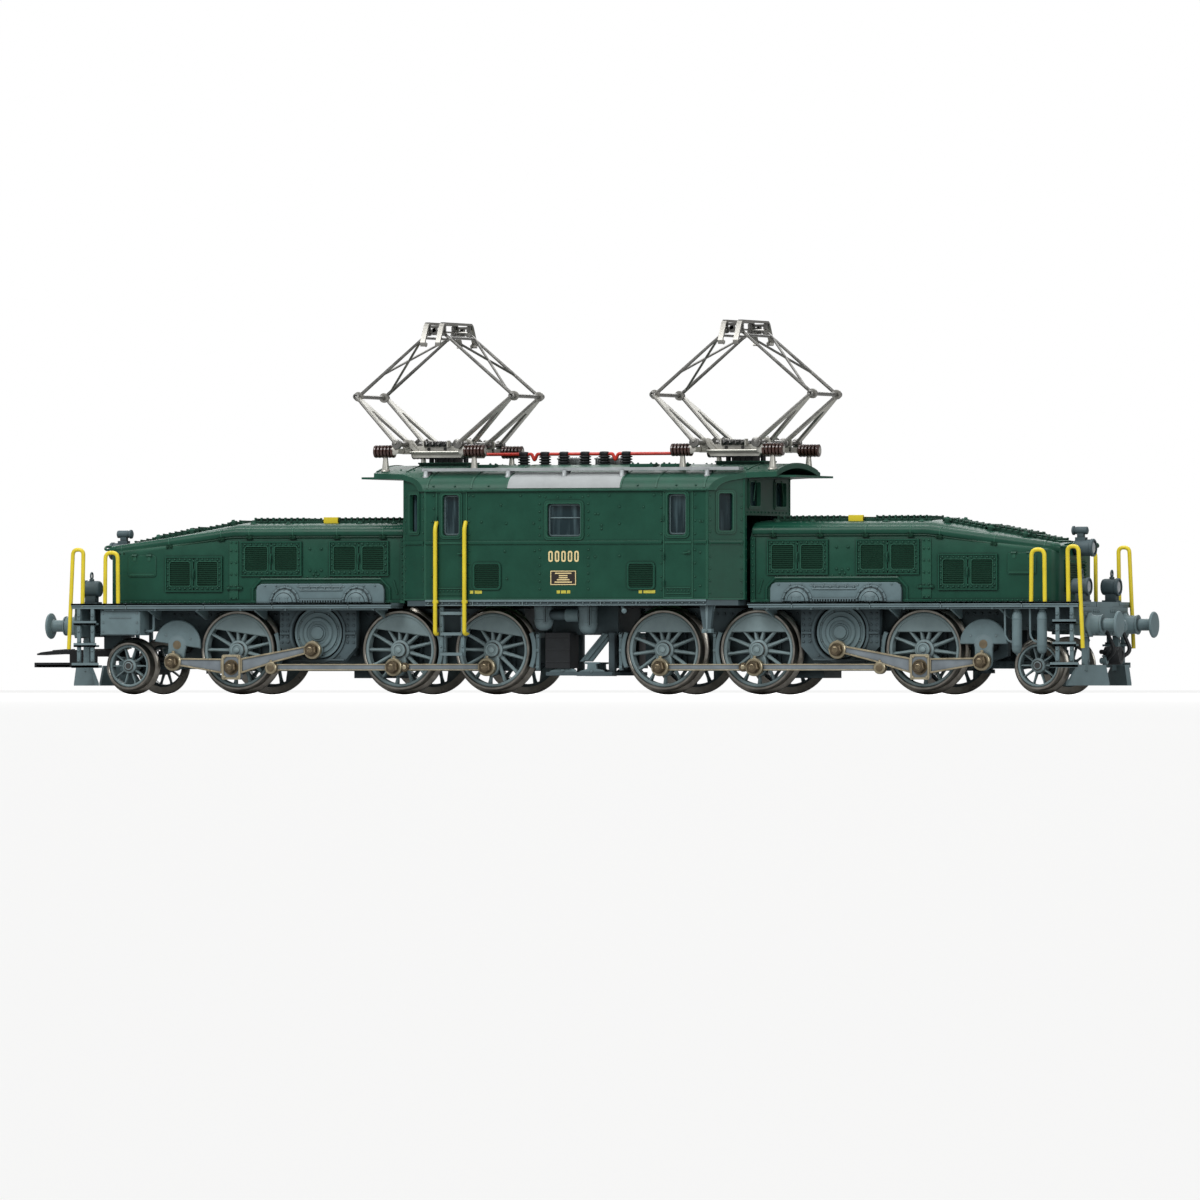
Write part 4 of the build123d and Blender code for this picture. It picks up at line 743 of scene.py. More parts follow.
def bonnet(name, end):
    """Bonnet of one bogie with its fittings, boards and nose."""
    s = Shape()
    stations = [REAR_X, 48, 60, SLOPE_X - 0.2, SLOPE_X + 0.2, 80, 90] + [
        NOSE_X - NOSE_R + NOSE_R * math.sin(math.radians(a)) for a in (0, 22, 40, 55, 68, 80, 90)]
    outer = [[(end * x, y, z) for y, z in hood_ring(x, 0)] for x in stations]
    inner = [[(end * (x + (SHELL if i == 0 else -SHELL if i == len(stations) - 1 else 0)), y, z)
              for y, z in hood_ring(min(x, NOSE_X - NOSE_R), SHELL)] for i, x in enumerate(stations)]
    for i, x in enumerate(stations):
        if NOSE_X - NOSE_R < x < NOSE_X:
            inner_x = end * (NOSE_X - 1.9 + (x - NOSE_X + NOSE_R) * 0.4)
            inner[i] = [(inner_x, y, z) for _, y, z in inner[i]]
    n, m = len(outer[0]), len(outer)
    verts = [p for ring in outer for p in ring] + [p for ring in inner for p in ring]
    off = n * m
    faces = []
    for i in range(m - 1):
        for k in range(n - 1):
            q = [i * n + k, i * n + k + 1, (i + 1) * n + k + 1, (i + 1) * n + k]
            faces += [q, [v + off for v in reversed(q)]]
        for k in (0, n - 1):
            faces.append([i * n + k, (i + 1) * n + k, (i + 1) * n + k + off, i * n + k + off])
    for i in (0, m - 1):
        ring = [i * n + k for k in range(n)]
        faces += [ring, [v + off for v in ring], [ring[0], ring[-1], ring[-1] + off, ring[0] + off]]
    s.add(verts, faces)
    s.piece(f"bonnet_{name}", [green], f"bogie_{name}", "green_paint", [f"hood_{name}"], sharp=30)

    # rolled edge with its clamps, seam strips, skirt ledge, frames round the covers
    s = Shape()
    for side in s.sides(end):
        rail = bent([(36.4, 9.6, 31.5), (72.2, 9.6, 31.5), (97.4, 9.15, 28.2), (98.5, 8.6, 28.05)],
                    0.8, 3)
        s.tube(rail, 1.0, 16)
        s.tube([(97.2, 9.15, 28.25), (98.55, 8.2, 28.3)], [0.95, 0.5], 14)
        # two thin tubes in the shaded green, under and above the rolled edge, are painted shade: dark lines
        # standing for the shadow along the roll
        s.paint = 1
        for y0, y1, z0 in ((10.34, 9.9, 30.68), (8.72, 8.5, 32.36)):
            s.tube(bent([(36.6, y0, z0), (72.2, y0, z0), (96.8, y1, z0 - 3.3)], 0.8, 3), 0.19, 8)
        s.paint = 0
        for cx in (40.6, 50.3, 59.6, 68.8, 74.8, 85.9, 96.0):
            share = max(0.0, (cx - SLOPE_X) / (97.4 - SLOPE_X))
            z, y = 31.5 - 3.3 * share, 9.6 - 0.45 * share
            tilt = Matrix.Translation((end * cx, side * y, z)) @ Matrix.Rotation(
                end * math.radians(7.3 if cx > SLOPE_X else 0), 4, "Y")
            s.at(tilt)
            s.turn([(1.0, -0.14), (1.06, -0.1), (1.06, 0.1), (1.0, 0.14)], (0, 0, 0), ALONG, 18)
            # the clamp's block and bolts take the shaded green: painted shade under the roll
            s.paint = 1
            s.box(-0.62, 0.62, 0.62, 1.0, -1.2, -0.55)
            for u in (-0.42, 0.42):
                s.bolt((u, 1.0, -0.82), ACROSS, 0.24, 0.2)
            s.paint = 0
            s.at()
        loop = [(97.6, 8.4, 28.2), (100.7, 7.7, 28.4), (100.9, 6.3, 29.1), (97.8, 4.8, 28.6)]
        s.tube(bent(loop, 0.7, 6), 0.24, 10)
        wall = HOOD_Y
        s.box(71.2, 73.0, wall - 0.1, wall + 0.14, 18.6, 30.0,
              36.2, 96.8, wall - 0.1, wall + 0.22, 17.8, 18.35,
              36.0, 36.9, wall - 0.1, wall + 0.25, 17.8, 30.4)
        cover = [(39.2, 18.1), (39.2, 20.6), (41.0, 22.5), (66.3, 22.5), (68.1, 20.6), (68.1, 18.1)]
        for a, b in zip(cover, cover[1:]):
            s.rod((a[0], wall, a[1]), (b[0], wall, b[1]), 0.3, 8)
        s.rod((37.6, wall, 19.6), (38.4, wall, 22.2), 0.22, 8)
        s.box(70.3, 73.6, wall, wall + 0.4, 20.55, 20.95)
        s.bolt((71.0, wall + 0.4, 20.75), ACROSS, 0.24)
        s.bolt((73.1, wall + 0.4, 20.75), ACROSS, 0.24)
        # nose hatch with two hinges
        s.prism(soft_rect(88.6, 94.5, 23.0, 27.2, 0.5), "xz", wall - 0.1, wall + 0.18, 0.08)
        s.box(89.0, 94.1, wall, wall + 0.32, 23.3, 23.6)
        for hx in (90.0, 93.1):
            s.rod((hx - 0.5, wall + 0.25, 27.2), (hx + 0.5, wall + 0.25, 27.2), 0.24, 8)
            s.box(hx - 0.3, hx + 0.3, wall, wall + 0.28, 26.2, 27.2)
        for z in (18.9, 21.2, 23.5, 25.8, 28.1, 29.7):
            for rx in (71.6, 72.6):
                s.rivet((rx, wall + 0.14, z), ACROSS)
        s.rivets((74, wall + 0.22, 18.08), (96, wall + 0.22, 18.08), 22, ACROSS, 0.13)
        s.rivets((36.45, wall + 0.25, 18.6), (36.45, wall + 0.25, 30.0), 10, ACROSS, 0.13)
        for rx, rz in ((53.6, 28.4), (56.0, 28.4), (53.6, 24.2), (56.0, 24.2), (54.3, 23.4), (55.3, 23.4),
                       (54.8, 24.0)):
            s.rivet((rx, wall, rz), ACROSS, 0.17)
        s.rivets((41.5, wall, 22.95), (66, wall, 22.95), 14, ACROSS, 0.12)
        # louvred doors
        for lo, hi, z0, z1 in PANELS:
            middle = (lo + hi) / 2
            outer_loop = [(lo, z0), (hi, z0), (hi, z1), (lo, z1)]
            s.hollow(outer_loop, inset(outer_loop, 0.28), "xz", wall - 0.1, wall + 0.34)
            for w0, w1 in ((lo + 0.35, middle - 0.15), (middle + 0.15, hi - 0.35)):
                window = soft_rect(w0 + 0.62, w1 - 0.62, z0 + 1.05, z1 - 1.05, 0.4, 2)
                frame_rim = soft_rect(w0, w1, z0 + 0.35, z1 - 0.35, 0.02, 2)
                s.paint = 0
                s.hollow(frame_rim, window, "xz", wall - 0.05, wall + 0.2)
                lip = soft_rect(w0 + 0.48, w1 - 0.48, z0 + 0.91, z1 - 0.91, 0.5, 2)
                s.hollow(lip, window, "xz", wall, wall + 0.32)
                count = 12
                # backing sheet and blades take the shaded green: painted shade in the louvre openings
                s.paint = 1
                s.box(w0 + 0.55, w1 - 0.55, wall - 0.02, wall + 0.04, z0 + 1.0, z1 - 1.0)
                for k in range(count):
                    z = z0 + 1.1 + (z1 - z0 - 2.2) * (k + 0.5) / count
                    blade = [(wall, z + 0.15), (wall + 0.24, z - 0.05), (wall + 0.24, z - 0.15),
                             (wall, z - 0.03)]
                    s.prism(blade, "yz", w0 + 0.6, w1 - 0.6)
                s.paint = 0
                top, bottom = z1 - 0.62, z0 + 0.62
                for z in (top, bottom):
                    s.rivets((w0 + 0.6, wall + 0.2, z), (w1 - 0.6, wall + 0.2, z), 5, ACROSS, 0.17)
                edge_x = w0 + 0.24 if w0 < middle - 1 else w1 - 0.24
                s.rivets((edge_x, wall + 0.2, z0 + 1.0), (edge_x, wall + 0.2, z1 - 1.0), 5, ACROSS, 0.16)
            # handle between the windows
            mid_z = (z0 + z1) / 2
            grip = [(middle, wall + 0.2, mid_z - 1.0), (middle, wall + 0.62, mid_z - 0.5),
                    (middle, wall + 0.62, mid_z + 0.4), (middle, wall + 0.2, mid_z + 0.9)]
            s.tube(bent(grip, 0.3, 3), 0.16, 8)
            for z in (z0 + 0.9, z1 - 0.9):
                s.rivet((middle, wall + 0.1, z), ACROSS, 0.2)
    s.piece(f"bonnet_fittings_{name}", [green, green_dark], f"bogie_{name}", "green_paint")

    # boards and cleats along the top, yellow plates, lifting lugs
    s = Shape().flip(end)
    fall = end * math.atan2(4.7, 26.4)
    slope = Matrix.Translation((end * SLOPE_X, 0, 33.7)) @ Matrix.Rotation(fall, 4, "Y")
    for y0, y1 in ((-4.6, -1.7), (-1.4, 1.4), (1.7, 4.6)):
        s.box(38.5, 70.9, y0, y1, 33.3, 33.95)
    for k in range(25):
        cx = 39.2 + k * 1.27
        if 52.6 < cx < 59.5:
            continue
        s.box(cx, cx + 0.55, -4.4, 4.4, 33.9, 34.45,  cx + 0.12, cx + 0.43, -4.75, -4.2, 33.7, 34.6,
              cx + 0.12, cx + 0.43, 4.2, 4.75, 33.7, 34.6)
    for k in range(5):
        s.box(56.9 + k * 0.5, 57.15 + k * 0.5, -4.4, 4.4, 33.9, 34.25)
    for cx in (40.0, 47.2, 62.3, 69.6):
        for side in s.sides(end):
            s.turn([(0.75, 0), (0.75, 0.25), (0.4, 0.4), (0.35, 0.62)], (cx, 6.2, 33.15), UP, 12)
    s.at(slope)
    for a, b, z in ((0.8, 10.2, 0.25), (9.6, 20.2, 0.55), (19.6, 25.2, 0.25)):
        s.box(a, b, -3.9, 3.9, -0.35, z)
        for k in range(int((b - a) / 1.27)):
            s.box(a + 0.2 + k * 1.27, a + 0.7 + k * 1.27, -3.6, 3.6, z - 0.03, z + 0.34)
            for side in s.sides(end):
                s.box(a + 0.3 + k * 1.27, a + 0.6 + k * 1.27, 3.5, 4.1, z - 0.2, z + 0.42)
    for a in (2.2, 11.2, 18.4):
        for side in s.sides(end):
            s.turn([(0.6, -0.3), (0.6, 0.5), (0.35, 0.7), (0.3, 0.9)], (a, 5.0, 0), UP, 12)
            s.rod((a - 0.8, 5.0, 0.35), (a + 0.8, 5.0, 0.35), 0.25, 8)
    s.at().paint = 1
    plate_x = 54.7 + end * 0.9
    s.box(plate_x - 1.5, plate_x + 1.5, -5.1, 5.1, 33.55, 34.3)
    for side, lip in ((NEAR, 34.62), (FAR, 34.3)):
        s.flip(end, side)
        s.box(plate_x - 1.5, plate_x + 1.5, 4.5, 5.15, 33.4, lip)
    s.piece(f"bonnet_boards_{name}", [green_mat, yellow], f"bogie_{name}", "green_paint", bevel=0.05)

    # nose front: louvre, rim and rivets
    s = Shape().flip(end)
    rim_loop = [(-5.6, 19.6), (5.6, 19.6), (5.6, 25.9), (-5.6, 25.9)]
    s.hollow(rim_loop, inset(rim_loop, 0.7), "yz", NOSE_X - 0.1, NOSE_X + 0.3)
    for k in range(11):
        z = 20.6 + k * 0.46
        # blades take the shaded green: painted shade in the louvre
        s.paint = 1
        s.prism([(NOSE_X - 0.05, z + 0.16), (NOSE_X + 0.26, z - 0.08), (NOSE_X + 0.26, z - 0.2),
                 (NOSE_X - 0.05, z - 0.02)], "xz", -4.95, 4.95)
    s.paint = 0
    for yy in (-5.3, 5.3):
        s.rivets((NOSE_X + 0.3, yy, 20), (NOSE_X + 0.3, yy, 25.5), 8, ALONG, 0.14)
    s.rivets((NOSE_X + 0.3, -4.6, 25.55), (NOSE_X + 0.3, 4.6, 25.55), 10, ALONG, 0.14)
    s.rivets((NOSE_X + 0.3, -4.6, 19.95), (NOSE_X + 0.3, 4.6, 19.95), 10, ALONG, 0.14)
    s.piece(f"bonnet_nose_{name}", [green, green_dark], f"bogie_{name}", "green_paint")


for name, end, phase in BOGIES:
    bonnet(name, end)


# ---------------------------------------------------------------- platforms, beams, steps
def platform(name, end):
    """Running board, beam, steps, buffers, lamps and handrails of one bogie."""
    s = Shape()
    # deck with a lip and channel, in strips that leave the wheel and gear openings free
    for y0, y1 in ((8.35, 10.6), (10.6, 15.0)):
        for side in s.sides(end):
            s.box(37.0, BEAM_X, y0, y1, 17.25, DECK_Z)
    for side in s.sides(end):
        s.box(37.2, 104.6, 14.0, 14.85, 16.75, 17.3,  37.2, 50.5, 10.6, 14.0, 16.9, 17.3,
              58.3, 104.6, 10.6, 14.0, 16.9, 17.3,  58.3, 104.6, 8.35, 10.6, 16.75, 17.3,
              37.2, 50.5, 8.35, 10.6, 16.75, 17.3,  75.8, 104.6, 4.6, 8.35, 16.75, DECK_Z,
              41.7, 66.9, 4.7, 8.35, 16.75, DECK_Z,  37.0, BEAM_X, 14.8, 15.0, 17.45, DECK_Z)
    s.box(80, BEAM_X, -4.6, 4.6, 16.75, DECK_Z)
    # buffer beam
    s.box(103.2, BEAM_X, -13.2, 13.2, 11.3, 16.8)
    for side in s.sides(end):
        for z in (16.0, 12.0):
            s.rivets((BEAM_X, 3.4, z), (BEAM_X, 6.4, z), 4, ALONG, 0.18)
        cover = [(40.2, 17.7), (67.1, 17.7), (67.1, 20.4), (66.8, 21.2), (66.0, 21.6), (41.3, 21.6),
                 (40.5, 21.2), (40.2, 20.4)]
        s.prism(cover, "xz", 10.3, 11.05, 0.12)
        for dome_x in (45.8, 61.0):
            for profile in ([(3.15, 0.0), (3.12, 0.2), (2.75, 0.24), (2.7, 0.1)],
                            [(2.5, 0.0), (2.45, 0.42), (2.2, 0.66), (1.9, 0.74), (1.86, 0.62)],
                            [(1.8, 0.0), (1.78, 0.86), (1.3, 1.06), (0.6, 1.18), (0.1, 1.2)]):
                rings = []
                for r, h in profile:
                    rings.append([(dome_x + r * math.cos(math.pi * k / 20), 11.0 + h,
                                   18.0 + r * math.sin(math.pi * k / 20)) for k in range(21)])
                s.skin(rings)
            for k in range(7):
                a = math.radians(12 + 26 * k)
                s.rivet((dome_x + 2.93 * math.cos(a), 11.22, 18.0 + 2.93 * math.sin(a)), ACROSS, 0.15)
            for k in range(5):
                a = math.radians(18 + 36 * k)
                s.rod((dome_x + 1.95 * math.cos(a), 11.6, 18.0 + 1.95 * math.sin(a)),
                      (dome_x + 2.4 * math.cos(a), 11.6, 18.0 + 2.4 * math.sin(a)), 0.12, 6)
            for dx in (-0.85, -0.28, 0.28, 0.85):
                s.box(dome_x + dx - 0.1, dome_x + dx + 0.1, 11.7, 12.2, 17.9, 18.85)
            s.box(dome_x - 1.1, dome_x + 1.1, 11.7, 12.12, 18.85, 19.05)
        s.rod((48.9, 11.08, 20.35), (57.9, 11.08, 20.35), 0.16, 8)
        s.rod((48.4, 11.08, 21.0), (58.4, 11.08, 21.0), 0.1, 8)
        s.box(48.9, 57.9, 11.0, 11.2, 18.35, 18.65)
        for k in range(16):
            s.box(49.2 + k * 0.54, 49.45 + k * 0.54, 11.0, 11.42, 17.95, 18.35)
        s.rivets((49.4, 11.05, 20.7), (57.4, 11.05, 20.7), 6, ACROSS, 0.14)
        s.rivets((42.0, 11.05, 21.2), (65.2, 11.05, 21.2), 11, ACROSS, 0.12)
        # steps at the corner
        s.box(98.9, 104.6, 13.2, 15.0, 5.25, 5.75,  98.9, 104.6, 14.85, 15.0, 5.2, 6.2)
        for post in (100.3, 103.2):
            s.box(post - 0.35, post + 0.35, 14.25, 14.8, 5.4, 16.85)
            for z in (6.6, 8.6, 12.4, 15.4):
                s.rivet((post, 14.8, z), ACROSS, 0.16)
        for z in (9.3, 13.6):
            s.box(99.4, 104.2, 13.4, 15.0, z, z + 0.4,  99.4, 104.2, 14.85, 15.0, z, z + 0.8)
        # rail guard
        low = [(100.6, 10.7), (101.3, 11.3), (107.9, 6.3), (107.2, 5.7)]
        high = [(102.5, 9.7), (103.1, 10.3), (107.3, 6.5), (106.6, 5.9)]
        s.skin([[(u, v, 1.75) for u, v in low], [(u, v, 2.2) for u, v in low],
                [(u, v, 5.7) for u, v in high]])
        s.box(103.3, 104.5, 8.2, 9.4, 4.6, 11.4)
        s.bolt((104.5, 8.8, 6.4), ALONG, 0.3)
        s.bolt((104.5, 8.8, 10.4), ALONG, 0.3)
        for jx in (46.0, 62.0, 76.5, 93.0):
            s.box(jx, jx + 0.25, 14.9, 15.0, 16.7, 17.85)
        s.rod((38.0, 14.2, 16.62), (98.0, 14.2, 16.62), 0.22, 10)
        for cx in (41.0, 50.0, 59.5, 69.0, 78.0, 87.0, 96.0):
            s.box(cx - 0.25, cx + 0.25, 13.85, 14.6, 16.38, 16.85)
        # brackets under the deck
        for bx in (40.5, 66.0, 78.5, 88.5):
            s.prism([(8.4, 16.8), (14.2, 16.8), (14.2, 16.3), (9.0, 14.6), (8.4, 14.6)], "yz",
                    bx - 0.22, bx + 0.22)
    s.piece(f"platform_{name}", [grey], f"bogie_{name}", "grey_plastic", [f"running_board_{name}"],
            bevel=0.05)

    s = Shape()
    for side in s.sides(end):
        y, z = 10.05, 13.45
        s.box(104.6, 105.0, y - 2.5, y + 2.5, z - 2.4, z + 2.4)
        for u in (-2.0, 2.0):
            for w in (-1.9, 1.9):
                s.bolt((105.0, y + u, z + w), ALONG, 0.28, 0.2)
        s.turn([(2.25, 0.2), (2.25, 0.75), (1.95, 0.95), (1.8, 1.3), (1.75, 3.0), (1.9, 3.05), (1.9, 3.3),
                (1.2, 3.3)], (BEAM_X, y, z), ALONG, 32)
        s.turn([(1.15, 3.2), (1.15, 5.7), (1.3, 5.9), (2.3, 6.1), (2.52, 6.25), (2.55, 6.45), (2.4, 6.68),
                (1.2, 6.8), (0.05, 6.8)], (BEAM_X, y, z), ALONG, 36)
    s.piece(f"buffer_pair_{name}", [grey], f"bogie_{name}", "grey_plastic", [f"buffers_{name}"])

    s = Shape().flip(end)
    for y, z in ((-8.5, 20.7), (8.5, 20.7), (0, 28.2)):
        s.paint = 0
        x0 = 101.2 if z < 25 else 98.6
        x1 = BEAM_X if z < 25 else 102.6
        s.turn([(1.3, 0), (1.5, 0.15), (1.6, 0.5), (1.6, x1 - x0 - 0.7), (1.72, x1 - x0 - 0.6),
                (1.72, x1 - x0 - 0.1), (1.6, x1 - x0), (1.35, x1 - x0), (1.3, x1 - x0 - 0.35)],
                (x0, y, z), ALONG, 32)
        s.paint = 1
        s.turn([(1.32, x1 - x0 - 0.4), (1.2, x1 - x0 - 0.22), (0.8, x1 - x0 - 0.08),
                (0.1, x1 - x0 - 0.02)], (x0, y, z), ALONG, 28)
        s.paint = 0
        if z < 25:
            s.box(102.0, 104.2, y - 0.9, y + 0.9, DECK_Z, 19.4,
                  101.5, 104.5, y - 1.3, y + 1.3, DECK_Z, 18.15)
            s.turn([(0.5, 0), (0.5, 0.3), (0.3, 0.5)], (103.1, y, z + 1.55), UP, 12)
            ring = [(103.1, y + 0.55 * math.cos(a), z + 2.55 + 0.65 * math.sin(a))
                    for a in [math.radians(k * 30) for k in range(12)]]
            s.tube(ring, 0.17, 8, loop=True)
    s.box(98.9, 100.9, -0.8, 0.8, 29.4, 30.2)
    s.rod((100.0, 0, 29.6), (100.0, 0, 31.2), 0.42, 12)
    s.turn([(0.4, 0), (0.72, 0.15), (0.75, 0.3), (0.75, 2.35), (0.68, 2.45), (0.68, 2.65), (0.88, 2.75),
            (0.88, 3.1), (0.7, 3.2)], (101.3, 0, 31.5), (-1, 0, 0), 24)
    s.box(99.2, 100.5, -0.5, 0.5, 30.2, 31.3)
    s.piece(f"lamp_set_{name}", [grey_dark, lens], f"bogie_{name}", "grey_plastic", [f"lamps_{name}"])

    s = Shape()
    for side in s.sides(end):
        y = 14.5
        s.tube(bent([(94.9, y, 17.2), (95.0, y, 27.75), (97.6, y, 27.75), (97.7, y, 17.2)], 1.28, 8),
               0.4, 12)
        s.tube(bent([(102.5, y, 17.2), (102.3, y, 28.35), (104.5, y, 28.35), (105.4, y, 8.9)], 1.05, 8),
               0.4, 12)
    s.piece(f"end_rails_{name}", [yellow], f"bogie_{name}", "yellow_wire", [f"end_handrails_{name}"])


for name, end, phase in BOGIES:
    platform(name, end)


# ---------------------------------------------------------------- pantographs
def pantograph(name, c):
    """Diamond pantograph about X = c, raised."""
    for tag, lean in (("rear", -1), ("front", 1)):
        bx, kx = c + lean * 6.4, c + lean * 16.3
        base, knee = Vector((bx, 0, HINGE_Z)), Vector((kx, 0, KNEE_Z))
        s = Shape()
        s.rod((bx, -11.4, HINGE_Z), (bx, 11.4, HINGE_Z), 0.5, 16, 0.1)
        s.rod((kx, -8.2, KNEE_Z), (kx, 8.2, KNEE_Z), 0.4, 14, 0.08)
        for side in (NEAR, FAR):
            out = Vector((0, side, 0))
            flat_normal = unit((knee - base).cross(Vector(ACROSS)))
            thin = flat_normal * 0.27
            apex = knee + out * 7.6
            split = 0.33
            for foot in (4.0, 11.0):
                p = base + out * foot
                r0, r1 = p - out * 0.85, p + out * 0.85
                top = apex + (p - apex) * split
                t0, t1 = top - out * 0.72, top + out * 0.72
                s.paint = 1
                s.skin([[r0 + thin, r1 + thin, r1 - thin, r0 - thin],
                        [t0 + thin, t1 + thin, t1 - thin, t0 - thin]])
                s.paint = 0
                for edge_root, edge_top in ((r0, t0), (r1, t1)):
                    s.rod(edge_root, edge_top, 0.23, 6)
                s.turn([(0.8, -0.55), (0.95, -0.45), (0.95, 0.45), (0.8, 0.55)], p, ACROSS, 18)
            low0 = apex + (base + out * 4.0 - apex) * split - out * 0.72
            low1 = apex + (base + out * 11.0 - apex) * split + out * 0.72
            top0, top1 = apex - out * 0.75, apex + out * 0.5
            s.paint = 1
            s.skin([[low0 + thin, low1 + thin, low1 - thin, low0 - thin],
                    [top0 + thin, top1 + thin, top1 - thin, top0 - thin]])
            s.paint = 0
            s.rod(low0, top0, 0.22, 6)
            s.rod(low1, top1, 0.22, 6)
            middle = apex + (base + out * 7.5 - apex) * 0.24
            s.turn([(0.3, 0.15), (0.3, 0.34), (0.16, 0.36)], middle, flat_normal, 10)
            s.turn([(0.62, 0), (0.62, 0.55), (0.45, 0.7)], knee + out * 7.5, (0, side, 0), 14)
            # spring lever on the shaft
            lever = base + out * 2.2
            s.flat(lever, lever + Vector((-lean * 1.2, 0, 1.0)), 0.7, 0.4)
        s.piece(f"panto_{name}_lower_{tag}", [steel, sheet], f"pantograph_{name}_lower_{tag}_body",
                "pantograph_metal", [f"pantograph_{name}_lower_{tag}"])

        top = Vector((c + lean * 1.5, 0, 70.4))
        s = Shape()
        span = top - knee
        for side in (NEAR, FAR):
            out = Vector((0, side * 6.55, 0))
            s.tube([knee + span * 0.04 + out, knee + span * 0.5 + out, knee + span * 0.95 + out],
                   [0.36, 0.33, 0.27], 10)
            s.paint = 1
            s.turn([(0.55, -0.32), (0.95, -0.28), (0.95, 0.28), (0.55, 0.32)], knee + out, ACROSS, 22)
            s.paint = 0
            s.turn([(0.4, -0.3), (0.66, -0.26), (0.66, 0.26), (0.4, 0.3)], top + out, ACROSS, 16)
            s.flat(knee + span * 0.9 + out, top + out, 0.6, 0.4)
        p = knee + span * 0.92
        s.rod(p + Vector((0, -6.6, 0)), p + Vector((0, 6.6, 0)), 0.28, 10)
        out = Vector((0, lean * 6.55, 0))
        s.rod(knee + span * 0.34 + out, knee + span * 0.93 - out, 0.25, 8)
        s.rod(knee + span * 0.90 + out, knee + span * 0.09 - out, 0.25, 8)
        s.piece(f"panto_{name}_upper_{tag}", [steel, nickel], f"pantograph_{name}_upper_{tag}_body",
                "pantograph_metal", [f"pantograph_{name}_upper_{tag}"])

    s = Shape()
    for lean in (-1, 1):
        xm = c + lean * 1.6
        line = bent([(xm, -9.35, 67.75), (xm, -9.65, 68.3), (xm, -7.4, 72.15), (xm, 7.4, 72.15),
                     (xm, 9.65, 68.3), (xm, 9.35, 67.75)], 0.8, 5)
        rings = []
        for i, p in enumerate(line):
            a, b = line[max(0, i - 1)], line[min(len(line) - 1, i + 1)]
            n = unit((b - a).cross(Vector(ALONG))) * 0.2
            rings.append([p + Vector((0.5, 0, 0)) + n, p - Vector((0.5, 0, 0)) + n,
                          p - Vector((0.5, 0, 0)) - n, p + Vector((0.5, 0, 0)) - n])
        s.paint = 0
        s.skin(rings)
        s.paint = 1
        s.box(xm - 0.42, xm + 0.42, -7.2, 7.2, 72.2, 72.4)
        s.paint = 0
        for side in (NEAR, FAR):
            hook = [(xm - lean * 0.5, side * 9.35, 68.5), (xm - lean * 0.5, side * 9.45, 67.85),
                    (xm - lean * 0.5, side * 9.0, 67.7), (xm - lean * 0.5, side * 8.75, 68.3)]
            s.tube(bent(hook, 0.35, 4), 0.2, 8)
    for side in (NEAR, FAR):
        s.paint = 2
        s.box(c - 2.1, c + 2.1, side * 7.0, side * 7.3, 71.3, 71.8,
              c - 0.5, c + 0.5, side * 7.0, side * 7.3, 69.9, 71.4)
        s.flat((c - 1.5, side * 7.15, 70.4), (c + 0.2, side * 7.15, 71.0), 0.7, 0.3)
        s.rod((c - 1.5, side * 5.9, 70.4), (c - 1.5, side * 7.35, 70.4), 0.34, 12, 0.05)
        for u in (-1.6, 1.6):
            coil = []
            for k in range(31):
                a = 2 * math.pi * k / 6
                coil.append((c + u + 0.42 * math.cos(a), side * 6.4 + 0.42 * math.sin(a),
                             70.75 + k * 0.036))
            s.tube(coil, 0.1, 5)
        s.rod((c - 2.0, side * 6.4, 70.65), (c + 2.0, side * 6.4, 70.65), 0.22, 8)
        s.paint = 0
    s.rod((c - 1.4, -6.4, 70.7), (c - 1.4, 6.4, 70.7), 0.18, 8)
    s.piece(f"panto_{name}_head", [nickel, steel_dark, steel], f"pantograph_{name}_head_body",
            "pantograph_metal", [f"pantograph_{name}_head"])


for name, end, phase in BOGIES:
    pantograph(name, end * PANTO_X)

